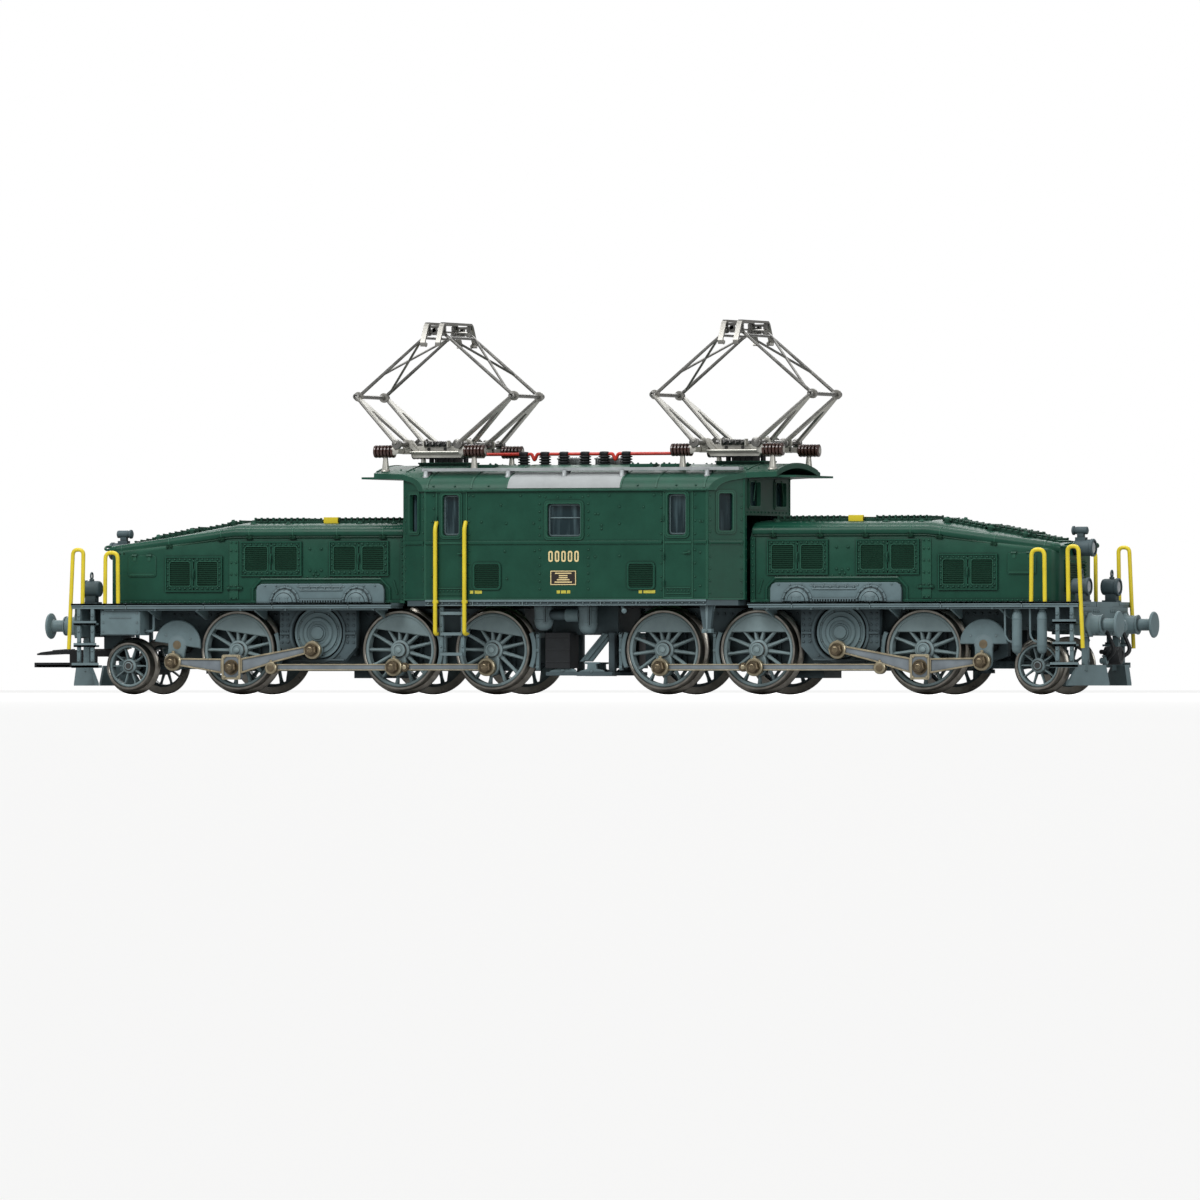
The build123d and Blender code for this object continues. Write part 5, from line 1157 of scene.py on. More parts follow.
bases, posts = Shape(), Shape()
for c in (-PANTO_X, PANTO_X):
    for side in (NEAR, FAR):
        y = side * 5.8
        web = [(c - 7.2, 46.9), (c - 5.6, 46.9), (c - 5.0, 46.1), (c + 5.0, 46.1), (c + 5.6, 46.9),
               (c + 7.2, 46.9), (c + 7.2, 49.1), (c + 6.9, 49.5), (c + 5.2, 49.5), (c + 4.4, 48.4),
               (c - 4.4, 48.4), (c - 5.2, 49.5), (c - 6.9, 49.5), (c - 7.2, 49.1)]
        bases.prism(web, "xz", y - 0.3, y + 0.3)
        bases.box(c - 7.2, c + 7.2, y - 0.55, y + 0.55, 46.8, 47.05)
        bases.rod((c - 4.6, side * 2.2, 48.1), (c + 4.6, side * 2.2, 48.1), 0.36, 10)
        coil = [(c - 4.2 + k * 0.095, side * 3.6 + 0.62 * math.cos(k * 1.15),
                 48.2 + 0.62 * math.sin(k * 1.15))
                for k in range(89)]
        bases.paint = 1
        bases.tube(coil, 0.14, 6)
        spring = [(c - 2.3 + k * 0.058, y + side * 0.75 + 0.48 * math.cos(k * 1.2),
                   48.75 + 0.48 * math.sin(k * 1.2))
                  for k in range(80)]
        bases.tube(spring, 0.13, 6)
        for k in range(4):
            slot_x = c - 5.1 + k * 3.4
            bases.rod((slot_x, y + side * 0.25, 47.75), (slot_x, y + side * 0.36, 47.75), 0.34, 12)
        bases.paint = 0
        for u in (-2.6, 2.45):
            bases.box(c + u, c + u + 0.25, y, y + side * 1.35, 48.1, 49.4)
        bases.rod((c - 5.6, y + side * 0.75, 47.2), (c + 5.6, y + side * 0.75, 47.2), 0.2, 8)
        for u in (-4.0, 4.0):
            bases.flat((c + u, y + side * 0.6, 47.2), (c + u * 1.35, y + side * 0.6, 48.5), 0.7, 0.3)
        for end in (-1, 1):
            bases.turn([(0.95, -0.35), (1.0, -0.3), (1.0, 0.3), (0.95, 0.35)],
                       (c + end * 6.4, y, HINGE_Z), ACROSS, 18)
            bases.box(c + end * 6.9, c + end * 7.4, side * 5.5, side * 10.6, 46.85, 47.9)
            bases.turn([(0.55, 0), (0.9, 0.2), (0.55, 0.45)], (c + end * 7.15, side * 10.5, 47.4),
                       (0, side, 0), 10)
            posts_x = c + end * 9.3
            bases.turn([(0.95, 43.4), (0.85, 43.7), (0.7, 43.8), (0.42, 46.4)], (posts_x, side * 9.8, 0),
                       UP, 18)
            # lying insulator
            x0, x1 = c + end * 7.3, c + end * 11.6
            profile = [(0.75, 0.0)]
            for k in range(6):
                m = 4.3 * (k + 0.5) / 6
                profile += [(0.82, m - 0.32), (1.22, m - 0.22), (1.27, m), (1.22, m + 0.22),
                            (0.82, m + 0.32)]
            profile += [(0.75, 4.3), (0.5, 4.32)]
            posts.turn(profile, (x0, side * 9.8, 47.3), (end, 0, 0), 26)
            for e2 in (x0 + end * 0.08, x1 - end * 0.1):
                bases.turn([(0.5, -0.1), (0.66, -0.06), (0.66, 0.06), (0.5, 0.1)],
                           (e2 + end * 0.06, side * 9.8, 47.3), ALONG, 14)
    for end in (-1, 1):
        bases.box(c + end * 4.4, c + end * 5.2, -5.6, 5.6, 46.8, 47.5)
    bases.box(c - 4.8, c + 4.8, -0.9, 0.9, 46.9, 47.4)
    bases.rod((c - 3.5, 0, 47.9), (c + 3.5, 0, 47.9), 0.55, 14, 0.1)
bases.piece("pantograph_base_frames", [sheet, steel_dark], "cab_body", "pantograph_metal",
            ["pantograph_bases"])
posts.piece("lying_insulators", [brown], "cab_body", "insulator_brown", ["pantograph_insulators"])


# ---------------------------------------------------------------- frames, brakes, tanks
def underframe(name, end):
    """Details of one bogie's frame, brake rigging and pony truck."""
    s = Shape()
    for side in s.sides(end):
        face = 10.2
        # flange, bolts and ribs round the jackshaft disc
        gap = 10 if end > 0 else 190
        s.hollow(arc(*JACK, 5.95, gap, gap + 340, 40), arc(*JACK, 5.45, gap, gap + 340, 40), "xz",
                 face - 0.1, face + 0.22)
        for k in range(12):
            a = math.radians(15 + 30 * k)
            bolt_x, bolt_z = JACK[0] + 6.35 * math.cos(a), JACK[1] + 6.35 * math.sin(a)
            if 6.6 < bolt_z < 16.2 and abs(bolt_x - JACK[0]) < 7.6:
                s.bolt((bolt_x, face, bolt_z), ACROSS, 0.2, 0.14)
        for u0, u1 in ((46.4, 48.5), (60.3, 62.3)):
            s.box(u0, u1, face - 0.1, face + 0.28, 11.7, 12.15)
            s.rivets((u0 + 0.4, face, 15.6), (u0 + 0.4, face, 10.2), 6, ACROSS, 0.16)
            s.rivets((u1 - 0.4, face, 15.6), (u1 - 0.4, face, 10.2), 6, ACROSS, 0.16)
        s.rod((48.8, face, 6.7), (60.0, face, 6.7), 0.28, 10)
        # axle guides on the inner plates
        plate = 6.2
        for ax in DRIVERS:
            s.hollow(arc(ax, DRIVER_Z, 2.6, 0, 360, 28)[:-1], arc(ax, DRIVER_Z, 1.7, 0, 360, 28)[:-1],
                     "xz", plate - 0.1, plate + 0.35)
            for u in (-3.1, 3.1):
                s.box(ax + u - 0.35, ax + u + 0.35, plate - 0.1, plate + 0.5, 5.4, 12.4)
                s.rivets((ax + u, plate + 0.5, 6.0), (ax + u, plate + 0.5, 12.0), 5, ACROSS, 0.16)
        s.rivets((14.0, plate, 15.6), (45.5, plate, 15.6), 22, ACROSS, 0.18)
        s.rivets((63.5, plate, 15.6), (86.5, plate, 15.6), 16, ACROSS, 0.18)
        s.rivets((44.0, plate, 5.3), (66.0, plate, 5.3), 14, ACROSS, 0.16)
        s.rivets((81.5, 6.2, 13.2), (102.5, 6.2, 13.2), 14, ACROSS, 0.16)
    s.piece(f"frame_fittings_{name}", [grey_dark], f"bogie_{name}", "grey_plastic", bevel=0.03)

    s = Shape()
    for ax in DRIVERS:
        for side in s.sides(end):
            for low_r, start, stop, steps, y0, y1, chamfer in ((8.1, 157, 203, 12, 8.3, 9.7, 0.1),
                                                               (8.7, 164, 196, 8, 8.55, 9.45, 0)):
                pad = (arc(ax, DRIVER_Z, 8.98, start, stop, steps)
                       + arc(ax, DRIVER_Z, low_r, stop, start, steps))
                s.prism(pad, "xz", y0, y1, chamfer)
            hang = ax - 9.15
            if ax == DRIVERS[0]:
                s.box(62.4, 63.0, 8.6, 9.4, 9.4, 11.4)
                s.bolt((62.7, 9.4, 10.4), ACROSS, 0.26)
                continue
            lever = [(hang - 0.3, 4.7), (hang + 0.3, 4.7), (hang + 0.42, 6.2), (hang + 0.28, 8.6),
                     (hang + 0.42, 10.6), (hang + 0.3, 12.0), (hang - 0.3, 12.0), (hang - 0.34, 8.6)]
            s.prism(lever, "xz", 8.6, 9.4, 0.06)
            for z in (5.3, 8.6, 11.4):
                s.turn([(0.36, -0.05), (0.36, 0.14), (0.2, 0.2)], (hang, 9.4, z), ACROSS, 12)
            s.box(hang - 0.35, hang + 0.25, 6.2, 9.4, 11.05, 11.95)
            if ax == DRIVERS[-1]:
                s.box(hang, 12.8, 6.2, 7.0, 11.05, 11.95)
    # two air tanks on one side, a box on the other
    s.flip(end, -end)
    for tank in (91.5, 96.6):
        y = 13.0
        s.turn([(0.1, 7.82), (0.5, 7.92), (0.82, 8.25), (0.97, 8.75), (0.97, 9.3), (1.0, 9.35),
                (1.0, 9.6), (0.96, 9.65), (0.96, 14.4), (1.0, 14.45), (1.0, 14.7), (0.96, 14.75),
                (0.94, 15.3), (0.7, 15.9), (0.58, 16.0), (0.58, 16.4), (1.0, 16.45), (1.0, 16.72)],
                (tank, y, 0), UP, 26)
        s.rod((tank, y, 7.5), (tank, y, 7.95), 0.2, 8)
        pipe = [(tank - 2.5, y, 16.75), (tank - 2.4, y, 11.2), (tank - 1.6, y, 10.2),
                (tank - 0.6, y, 10.1)]
        s.tube(bent(pipe, 0.9, 5), 0.2, 8)
        s.rod((tank - 1.2, y, 10.1), (tank - 0.85, y, 10.1), 0.32, 6)
    s.flip(end, end)
    s.box(90.4, 99.0, 9.6, 13.75, 11.6, 16.7)
    s.prism(soft_rect(90.5, 98.9, 11.7, 16.5, 0.5, 4), "xz", 13.7, 14.0, 0.12)
    for u in (91.1, 98.3):
        for z in (12.3, 14.1, 15.9):
            s.bolt((u, 13.98, z), ACROSS, 0.2, 0.14)
    s.box(92.4, 97.0, 13.95, 14.1, 14.9, 15.05)
    s.tube(bent([(90.5, 11.6, 12.4), (88.6, 11.6, 12.4), (88.6, 11.6, 16.6)], 0.6, 4), 0.26, 8)
    s.piece(f"brake_rigging_{name}", [grey], f"bogie_{name}", "grey_plastic", [f"brake_gear_{name}"],
            bevel=0.04)

    s = Shape()
    for side in s.sides(end):
        for u in (-1.1, 1.1):
            s.rod((CARRIER[0] + u, 3.2, 7.3), (CARRIER[0] + u, 3.2, 8.6), 0.42, 12, 0.06)
            s.turn([(0.75, 0), (0.75, 0.2), (0.5, 0.3)], (CARRIER[0] + u, 3.2, 7.3), UP, 12)
        s.hollow(arc(*CARRIER, 1.75, 0, 360, 24)[:-1], arc(*CARRIER, 1.15, 0, 360, 24)[:-1], "xz", 4.9,
                 5.3)
        s.rivets((82.5, 2.6, 5.7), (92.0, 2.6, 5.7), 8, ACROSS, 0.18)
    s.flip(end).box(84.0, 91.5, -1.6, 1.6, 6.35, 6.7)
    for u in (85.0, 90.5):
        s.bolt((u, 0, 6.7), UP, 0.4, 0.3)
    s.piece(f"pony_fittings_{name}", [grey_dark], f"pony_{name}", "grey_plastic", bevel=0.04)


for name, end, phase in BOGIES:
    underframe(name, end)

sill = Shape()
sill.paint = 1
for y in (-4.0, 0.0, 4.0):
    sill.box(-40.0, 40.0, y - 0.3, y + 0.3, 16.75, 17.4)
for side, turn in CAB_SIDES:
    sill.at(turn)
    sill.paint = 0
    sill.box(-29.2, 29.2, -16.2, -16.75, 17.95, 18.35,  -29.2, 29.2, -16.2, -16.62, 17.2, 17.4)
    for jx in (-19.4, -9.0, 7.2, 14.6):
        sill.box(jx, jx + 0.22, -16.3, -16.7, 17.2, 18.3)
    sill.rivets((-28.6, -16.5, 17.7), (28.6, -16.5, 17.7), 40, (0, -1, 0), 0.13)
    # small drain cock and the hanger bracket
    sill.rod((11.4, -15.6, 17.3), (11.7, -15.6, 16.3), 0.3, 10, 0.05)
    sill.turn([(0.42, 0), (0.5, 0.12), (0.5, 0.5), (0.3, 0.66)], (11.9, -15.9, 16.2), (0.5, -1, -0.2), 12)
    sill.prism([(27.2, 17.3), (30.4, 17.3), (30.1, 16.4), (29.5, 12.2), (28.3, 12.2), (27.5, 16.4)], "xz",
               -14.5, -15.0, 0.1)
    sill.prism([(28.6, 17.2), (29.2, 17.2), (29.05, 12.4), (28.75, 12.4)], "xz", -14.9, -15.65)
    sill.box(27.9, 29.9, -14.4, -15.7, 11.9, 12.7)
    sill.bolt((28.9, -15.7, 12.3), (0, -1, 0), 0.24)
    # reservoirs, their pipe, the box and the strut under the cab
    for tank, low in ((-7.0, 12.4), (2.2, 11.7)):
        prof = [(0.1, low), (0.9, low + 0.12), (1.5, low + 0.6), (1.78, low + 1.3), (1.8, low + 1.75),
                (1.86, low + 1.8), (1.86, low + 2.15), (1.8, low + 2.2), (1.8, 16.3), (1.88, 16.35),
                (1.88, 16.9), (1.8, 17.3)]
        sill.turn(prof, (tank, -10.2, 0), UP, 36)
        sill.hollow(soft_rect(tank + 0.75, tank + 1.25, low + 1.5, 17.2, 0.1, 2),
                    soft_rect(tank + 0.9, tank + 1.1, low + 1.7, 17.1, 0.05, 2), "xz", -11.6, -12.0)
    sill.turn([(0.8, 0), (1.05, 0.1), (1.05, 0.4), (1.3, 0.5), (1.3, 3.2), (1.05, 3.3), (0.7, 3.9),
               (0.7, 5.4)], (1.0, -10.2, 15.4), (-1, 0, 0), 26)
    sill.paint = 1
    sill.box(-6.9, -1.8, -9.7, -5.0, 5.1, 12.0)
    for z in (6.2, 8.5, 10.9):
        sill.box(-6.8, -1.9, -9.6, -9.8, z, z + 0.18)
    sill.paint = 0
    if side == NEAR:
        sill.prism([(3.9, 11.9), (6.3, 11.9), (1.7, 6.4), (-0.9, 6.4)], "xz", -6.2, -6.9, 0.08)
        sill.prism([(4.5, 11.7), (5.3, 11.7), (0.9, 6.6), (0.1, 6.6)], "xz", -6.8, -7.1)
    sill.rod((5.9, -6.8, 4.3), (5.9, -6.8, 11.9), 0.55, 12)
    # lower stay with its shaped brackets
    for c, lift in ((-3.4, 0.0), (2.6, -0.2)):
        sill.prism([(c - 3.2, 3.8 + lift), (c + 3.2, 3.8 + lift), (c + 2.4, 4.9 + lift),
                    (c + 1.0, 5.2 + lift), (c + 0.9, 6.1 + lift), (c + 1.6, 6.2 + lift),
                    (c + 1.6, 6.5 + lift), (c - 1.6, 6.5 + lift), (c - 1.6, 6.2 + lift),
                    (c - 0.9, 6.1 + lift), (c - 1.0, 5.2 + lift), (c - 2.6, 4.7 + lift)],
                    "xz", -8.6, -9.3, 0.08)
        sill.bolt((c, -9.3, 4.7 + lift), (0, -1, 0), 0.3)
sill.at().piece("sill_and_tanks", [grey, black], "cab_body", "grey_plastic", bevel=0.04)


# ---------------------------------------------------------------- coupler, hoses
s = Shape()
s.box(-110.2, -101.4, -1.5, 1.5, 7.45, 8.75)
s.turn([(1.8, 7.4), (1.9, 7.5), (1.9, 8.7), (1.8, 8.8)], (-101.4, 0, 0), UP, 28)
s.box(-106.4, -102.6, -0.9, 0.9, 8.7, 9.0)
body = soft_rect(-110.2, -106.8, 5.3, 8.8, 0.35, 3)
s.prism(body, "xz", -3.15, 3.15, 0.15)
s.prism([(-118.1, -1.2), (-117.4, -3.0), (-110.1, -3.0), (-110.1, 3.0), (-117.4, 3.0), (-118.1, 1.2)],
        "xy", 5.35, 5.9)
for side in (NEAR, FAR):
    s.box(-117.8, -110.1, side * 2.5, side * 3.0, 5.35, 6.3,
          -113.0, -110.1, side * 0.6, side * 1.1, 5.85, 6.25)
tongue = [(-110.1, 7.9), (-110.1, 8.8), (-113.0, 8.75), (-116.6, 8.35), (-117.6, 8.05), (-117.5, 7.75),
          (-113.0, 7.95)]
s.prism(tongue, "xz", -2.3, 2.3, 0.1)
for side in (NEAR, FAR):
    s.prism([(-111.0, 8.7), (-111.0, 9.0), (-114.6, 8.75), (-114.6, 8.5)], "xz", side * 0.9, side * 1.5)
s.rod((-109.0, -2.9, 8.3), (-109.0, 2.9, 8.3), 0.45, 12)
s.piece("coupler_hook", [black], "coupler_head", "black_plastic", ["coupler"], bevel=0.06)

s = Shape()
s.turn([(1.2, BEAM_X), (1.75, 104.9), (1.75, 107.9), (1.6, 108.1), (1.0, 108.2), (0.9, 108.0),
        (0.3, 108.0)], (0, 0, 7.5), ALONG, 30)
s.turn([(1.7, 105.6), (1.88, 105.65), (1.88, 105.95), (1.7, 106.0)], (0, 0, 7.5), ALONG, 30)
s.rod((105.0, -2.9, 8.2), (105.0, 2.9, 8.2), 0.45, 12)
s.paint = 1
s.turn([(0.95, BEAM_X), (0.95, 105.0), (0.7, 105.2), (0.62, 107.4)], (0, 0, 12.6), ALONG, 18)
hook = [(107.2, 12.0), (108.4, 11.9), (109.1, 12.4), (109.2, 13.4), (108.7, 14.3), (108.0, 14.6),
        (107.6, 14.3), (108.2, 13.8), (108.45, 13.2), (108.1, 12.8), (107.2, 13.1)]
s.prism(hook, "xz", -0.55, 0.55, 0.1)
for y in (-4.6, 4.6):
    line = bent([(104.6, y, 12.4), (106.6, y, 12.4), (108.4, y, 8.4), (106.2, y * 0.72, 6.6)], 1.2, 9)
    s.paint = 0
    s.tube(line, 0.38, 14)
    for i in range(2, len(line) - 2):
        t = unit(line[i + 1] - line[i - 1])
        s.turn([(0.38, -0.07), (0.43, -0.05), (0.43, 0.05), (0.38, 0.07)], line[i], t, 12)
    s.paint = 1
    s.turn([(0.8, 0), (0.8, 0.25), (0.55, 0.35), (0.52, 1.0)], (BEAM_X, y, 12.4), ALONG, 16)
    s.turn([(0.5, -0.1), (0.72, 0.0), (0.75, 0.5), (0.62, 0.8), (0.62, 1.3), (0.4, 1.5)],
           (106.4, y * 0.72, 6.5), (-1, 0, 0), 16)
    s.rod((105.6, y * 0.72, 6.2), (105.6, y * 0.72, 7.5), 0.16, 8)
    s.rod((105.6, y * 0.72 - 0.6, 7.4), (105.6, y * 0.72 + 0.6, 7.4), 0.16, 8)
s.piece("hose_set", [black, grey], "bogie_right", "black_plastic", ["brake_hoses"])


# ---------------------------------------------------------------- drive in the right bonnet, board in the cab
s = Shape()
s.turn([(0.9, 39.2), (5.6, 39.2), (6.0, 39.6), (6.0, 54.0), (5.6, 54.4), (0.9, 54.4)], (0, 0, MOTOR_Z),
       ALONG, 48, closed=True)
for u in (40.4, 53.0):
    s.turn([(5.9, u), (6.0, u + 0.02), (6.0, u + 0.38), (5.9, u + 0.4)], (0, 0, MOTOR_Z), ALONG, 48)
s.turn([(0.9, 54.3), (1.9, 54.3), (1.9, 54.9), (0.9, 54.9)], (0, 0, MOTOR_Z), ALONG, 24, closed=True)
s.piece("motor_can", [nickel], "bogie_right", "motor_metal", ["motor"])
s = Shape()
s.rod((38.0, 0, MOTOR_Z), (70.0, 0, MOTOR_Z), 0.78, 20, 0.1)
s.turn([(4.2, 41.5), (4.7, 42.0), (4.7, 51.5), (4.2, 52.0)], (0, 0, MOTOR_Z), ALONG, 32)
s.turn([(1.2, 56.6), (1.5, 56.9), (1.5, 63.3), (1.2, 63.6)], (0, 0, MOTOR_Z), ALONG, 24)
thread = [(56.9 + k * 0.053, 1.38 * math.cos(k * 0.27), MOTOR_Z + 1.38 * math.sin(k * 0.27))
          for k in range(122)]
s.paint = 1
s.tube(thread, 0.16, 6)
s.paint = 0
s.turn([(0.8, 64.8), (4.4, 64.8), (5.0, 65.3), (5.0, 69.1), (4.4, 69.6), (0.8, 69.6)], (0, 0, MOTOR_Z),
       ALONG, 48)
s.turn([(4.0, 69.5), (3.9, 69.3), (1.6, 69.3), (1.5, 69.5)], (0, 0, MOTOR_Z), ALONG, 48)
s.piece("worm_shaft", [steel_dark, brass], "motor_rotor", "motor_metal", ["motor_shaft"])

s = Shape()
s.box(-23, 23, -9.5, 9.5, 20.25, 21.15)
s.paint = 1
s.box(-9, 6, -6, 6, 21.15, 23.4,  -20, -13, -7.5, 7.5, 21.15, 22.9)
for k in range(12):
    for side in (NEAR, FAR):
        u = -8.2 + k * 1.22
        s.paint = 2
        s.box(u, u + 0.5, side * 5.9, side * 7.2, 21.15, 21.45,
              u, u + 0.5, side * 5.9, side * 6.15, 21.15, 22.4)
s.paint = 3
s.turn([(2.9, 21.15), (3.0, 21.4), (3.0, 26.5), (2.7, 26.9), (0.1, 26.9)], (14.5, 0, 0), UP, 36)
s.paint = 2
for k in range(10):
    s.box(-19.6 + k * 0.65, -19.3 + k * 0.65, -7.2, 7.2, 22.85, 23.0)
for u in (-21.5, 21.5):
    for v in (-8.0, 8.0):
        s.bolt((u, v, 21.15), UP, 0.6, 0.3)
s.piece("control_board", [board, black, brass, steel_dark], "cab_body", "board_green", ["circuit_board"],
        bevel=0.05)


# ---------------------------------------------------------------- cab
def arc3(p0, p1, p2, n):
    """Points on the circle through three 2-D points, from the first to the last."""
    (ax, ay), (bx, by), (cx, cy) = p0, p1, p2
    d = 2 * (ax * (by - cy) + bx * (cy - ay) + cx * (ay - by))
    a2, b2, c2 = ax * ax + ay * ay, bx * bx + by * by, cx * cx + cy * cy
    ux = (a2 * (by - cy) + b2 * (cy - ay) + c2 * (ay - by)) / d
    uy = (a2 * (cx - bx) + b2 * (ax - cx) + c2 * (bx - ax)) / d
    r = math.hypot(ax - ux, ay - uy)
    a0, a1, a2 = (math.atan2(y - uy, x - ux) for x, y in (p0, p1, p2))
    if (a1 - a0) % (2 * math.pi) > (a2 - a0) % (2 * math.pi):
        a2 = a0 - (a0 - a2) % (2 * math.pi)
    else:
        a2 = a0 + (a2 - a0) % (2 * math.pi)
    return [(ux + r * math.cos(a0 + (a2 - a0) * k / n), uy + r * math.sin(a0 + (a2 - a0) * k / n))
            for k in range(n + 1)]


WALL_Y = -16.5
SIDE_WINDOWS = ((-25.8, -21.9, 30.6, 38.9), (-4.0, 3.4, 30.3, 37.1), (21.0, 25.2, 30.6, 38.9))


def framed(s, u0, u1, v0, v1, plane, a, b, width=0.42, r=0.6, lap=0.12):
    """Raised frame with rounded inner corners round an opening."""
    inner = soft_rect(u0 + lap, u1 - lap, v0 + lap, v1 - lap, r, 4)
    outer = soft_rect(u0 - width, u1 + width, v0 - width, v1 + width, r + width * 0.6, 4)
    s.hollow(outer, inner, plane, a, b)
    bead = soft_rect(u0 - 0.02, u1 + 0.02, v0 - 0.02, v1 + 0.02, r, 4)
    s.hollow(bead, soft_rect(u0 + 0.2, u1 - 0.2, v0 + 0.2, v1 - 0.2, r, 4), plane, a,
             b + math.copysign(0.1, b - a))


def slats(s, u0, u1, z0, z1, wall, out, count, paint):
    """Louvre blades across an opening on an XZ wall; out is -1 or 1."""
    s.paint = paint
    for k in range(count):
        z = z0 + (z1 - z0) * (k + 0.5) / count
        s.prism([(wall - out * 0.05, z + 0.15), (wall + out * 0.22, z - 0.05),
                 (wall + out * 0.22, z - 0.15), (wall - out * 0.05, z - 0.03)], "yz", u0, u1)
    s.paint = 0


trim, marks, panes = Shape(), Shape(), Shape()
for _, turn in CAB_SIDES:
    trim.at(turn)
    marks.at(turn)
    panes.at(turn)
    w = WALL_Y
    for x0, x1, z0, z1 in SIDE_WINDOWS:
        framed(trim, x0, x1, z0, z1, "xz", w + 0.5, w - 0.18)
        # slim frame round the pane, behind the opening
        panes.hollow(soft_rect(x0 + 0.3, x1 - 0.3, z0 + 0.3, z1 - 0.3, 0.5, 4),
                     soft_rect(x0 + 0.58, x1 - 0.58, z0 + 0.58, z1 - 0.58, 0.4, 4),
                     "xz", w + 0.95, w + 0.55)
    panes.box(SIDE_WINDOWS[1][0] + 0.5, SIDE_WINDOWS[1][1] - 0.5, w + 0.95, w + 0.7, 34.1, 34.3)
    # belt strip, sill strip
    for x0, x1 in ((-29.2, -27.3), (-20.3, 20.0), (26.6, 29.2)):
        trim.prism([(w + 0.1, 29.0), (w - 0.2, 29.12), (w - 0.27, 29.4), (w - 0.2, 29.68),
                    (w + 0.1, 29.8)], "yz", x0, x1)
    trim.box(-29.25, 29.25, w + 0.1, w - 0.12, 18.3, 18.6)
    # the door and its blind twin
    for d0, d1 in ((-27.0, -20.5), (20.3, 26.4)):
        trim.hollow([(d0, 18.6), (d1, 18.6), (d1, 39.3), (d0, 39.3)],
                    [(d0 + 0.22, 18.82), (d1 - 0.22, 18.82), (d1 - 0.22, 39.1), (d0 + 0.22, 39.1)],
                    "xz", w + 0.1, w - 0.1)
        trim.box(d0 + 0.3, d1 - 0.3, w + 0.1, w - 0.14, 29.15, 29.6)
        for z in (19.4, 20.5):
            trim.box(d0 + 0.5, d1 - 0.5, w + 0.1, w - 0.14, z, z + 0.18)
        trim.rivets((d0 + 0.9, w, 20.1), (d1 - 0.9, w, 20.1), 7, (0, -1, 0), 0.11)
        for dx in (d0 - 0.45, d1 + 0.45):
            trim.rivets((dx, w, 20.2), (dx, w, 27.9), 4, (0, -1, 0), 0.13)
            trim.rivets((dx, w, 31.0), (dx, w, 38.6), 4, (0, -1, 0), 0.13)
        # hinges and handle
        for z in (21.5, 26.6, 34.0):
            trim.rod((d0 + 0.12, w - 0.16, z - 0.55), (d0 + 0.12, w - 0.16, z + 0.55), 0.2, 8, 0.05)
        trim.turn([(0.32, -0.05), (0.32, 0.12), (0.16, 0.16), (0.16, 0.4), (0.1, 0.45)],
                  (d1 - 0.8, w, 27.4), (0, -1, 0), 12)
        trim.flat((d1 - 0.8, w - 0.36, 27.4), (d1 - 1.9, w - 0.36, 27.3), 0.22, 0.18)
    # louvres low on the wall
    for g0, g1 in ((-19.25, -13.4), (12.8, 18.6)):
        window = soft_rect(g0 + 0.35, g1 - 0.35, 20.65, 25.25, 0.5, 3)
        trim.hollow(soft_rect(g0, g1, 20.3, 25.6, 0.8, 3), window, "xz", w + 0.1, w - 0.26)
        # blades in paint 1, the shaded green: painted shade in the louvre
        slats(trim, g0 + 0.3, g1 - 0.3, 20.75, 25.15, w, -1, 12, 1)
    # rivets in columns beside the middle window and scattered pairs
    for cx in (-5.35, 4.75):
        trim.rivets((cx, w, 20.4), (cx, w, 28.0), 6, (0, -1, 0), 0.13)
        trim.rivets((cx, w, 30.8), (cx, w, 38.4), 6, (0, -1, 0), 0.13)
    trim.rivets((-4.2, w, 38.2), (3.6, w, 38.2), 4, (0, -1, 0), 0.12)
    for cx, cz in ((-13.4, 36.7), (-12.3, 33.1), (-12.6, 27.7), (-6.6, 33.1), (-6.4, 27.8), (6.2, 34.9),
                   (6.8, 34.9), (7.5, 32.7), (7.5, 32.0), (6.2, 26.6), (11.2, 36.3), (11.2, 33.0),
                   (11.2, 26.8), (16.2, 36.2), (-17.5, 33.4), (-9.3, 38.5), (9.1, 38.5), (-19.2, 38.5),
                   (18.4, 38.5), (-12.2, 22.4), (-27.9, 33.6), (-27.9, 23.0), (27.9, 33.4), (28.4, 33.4),
                   (27.9, 27.4), (27.9, 21.0)):
        trim.rivet((cx, w, cz), (0, -1, 0), 0.14)
    # corner posts
    for cx in (-29.3, 29.3):
        trim.rod((cx, w + 0.15, 18.4), (cx, w + 0.15, 39.4), 0.28, 8)
    # plain digits, a framed plate with bars for lines of print, and small marks
    for k in range(5):
        u = -3.55 + k * 1.35
        marks.paint = 0
        marks.hollow(soft_rect(u, u + 0.92, 25.65, 27.8, 0.42, 4),
                     soft_rect(u + 0.28, u + 0.64, 25.98, 27.47, 0.16, 4), "xz", w + 0.05, w - 0.05)
    marks.paint = 1
    marks.box(-3.1, 2.2, w + 0.05, w - 0.05, 21.2, 23.95)
    marks.paint = 0
    plate = [(-3.1, 21.2), (2.2, 21.2), (2.2, 23.95), (-3.1, 23.95)]
    marks.hollow(plate, inset(plate, 0.16), "xz", w, w - 0.09)
    for z, half in ((23.45, 1.7), (23.0, 0.9), (22.6, 0.9), (22.2, 1.3), (21.75, 1.8)):
        marks.box(-0.45 - half, -0.45 + half, w, w - 0.08, z - 0.11, z + 0.11)
    marks.paint = 2
    for u0, u1 in ((-19.9, -19.2), (-18.9, -17.4), (-1.8, -1.1), (-0.9, 0.1), (0.3, 1.0), (15.2, 15.9),
                   (16.2, 18.6)):
        marks.box(u0, u1, w + 0.05, w - 0.05, 19.55, 20.15)
trim.at()
panes.piece("pane_frames", [grey], "cab_body", "grey_plastic")

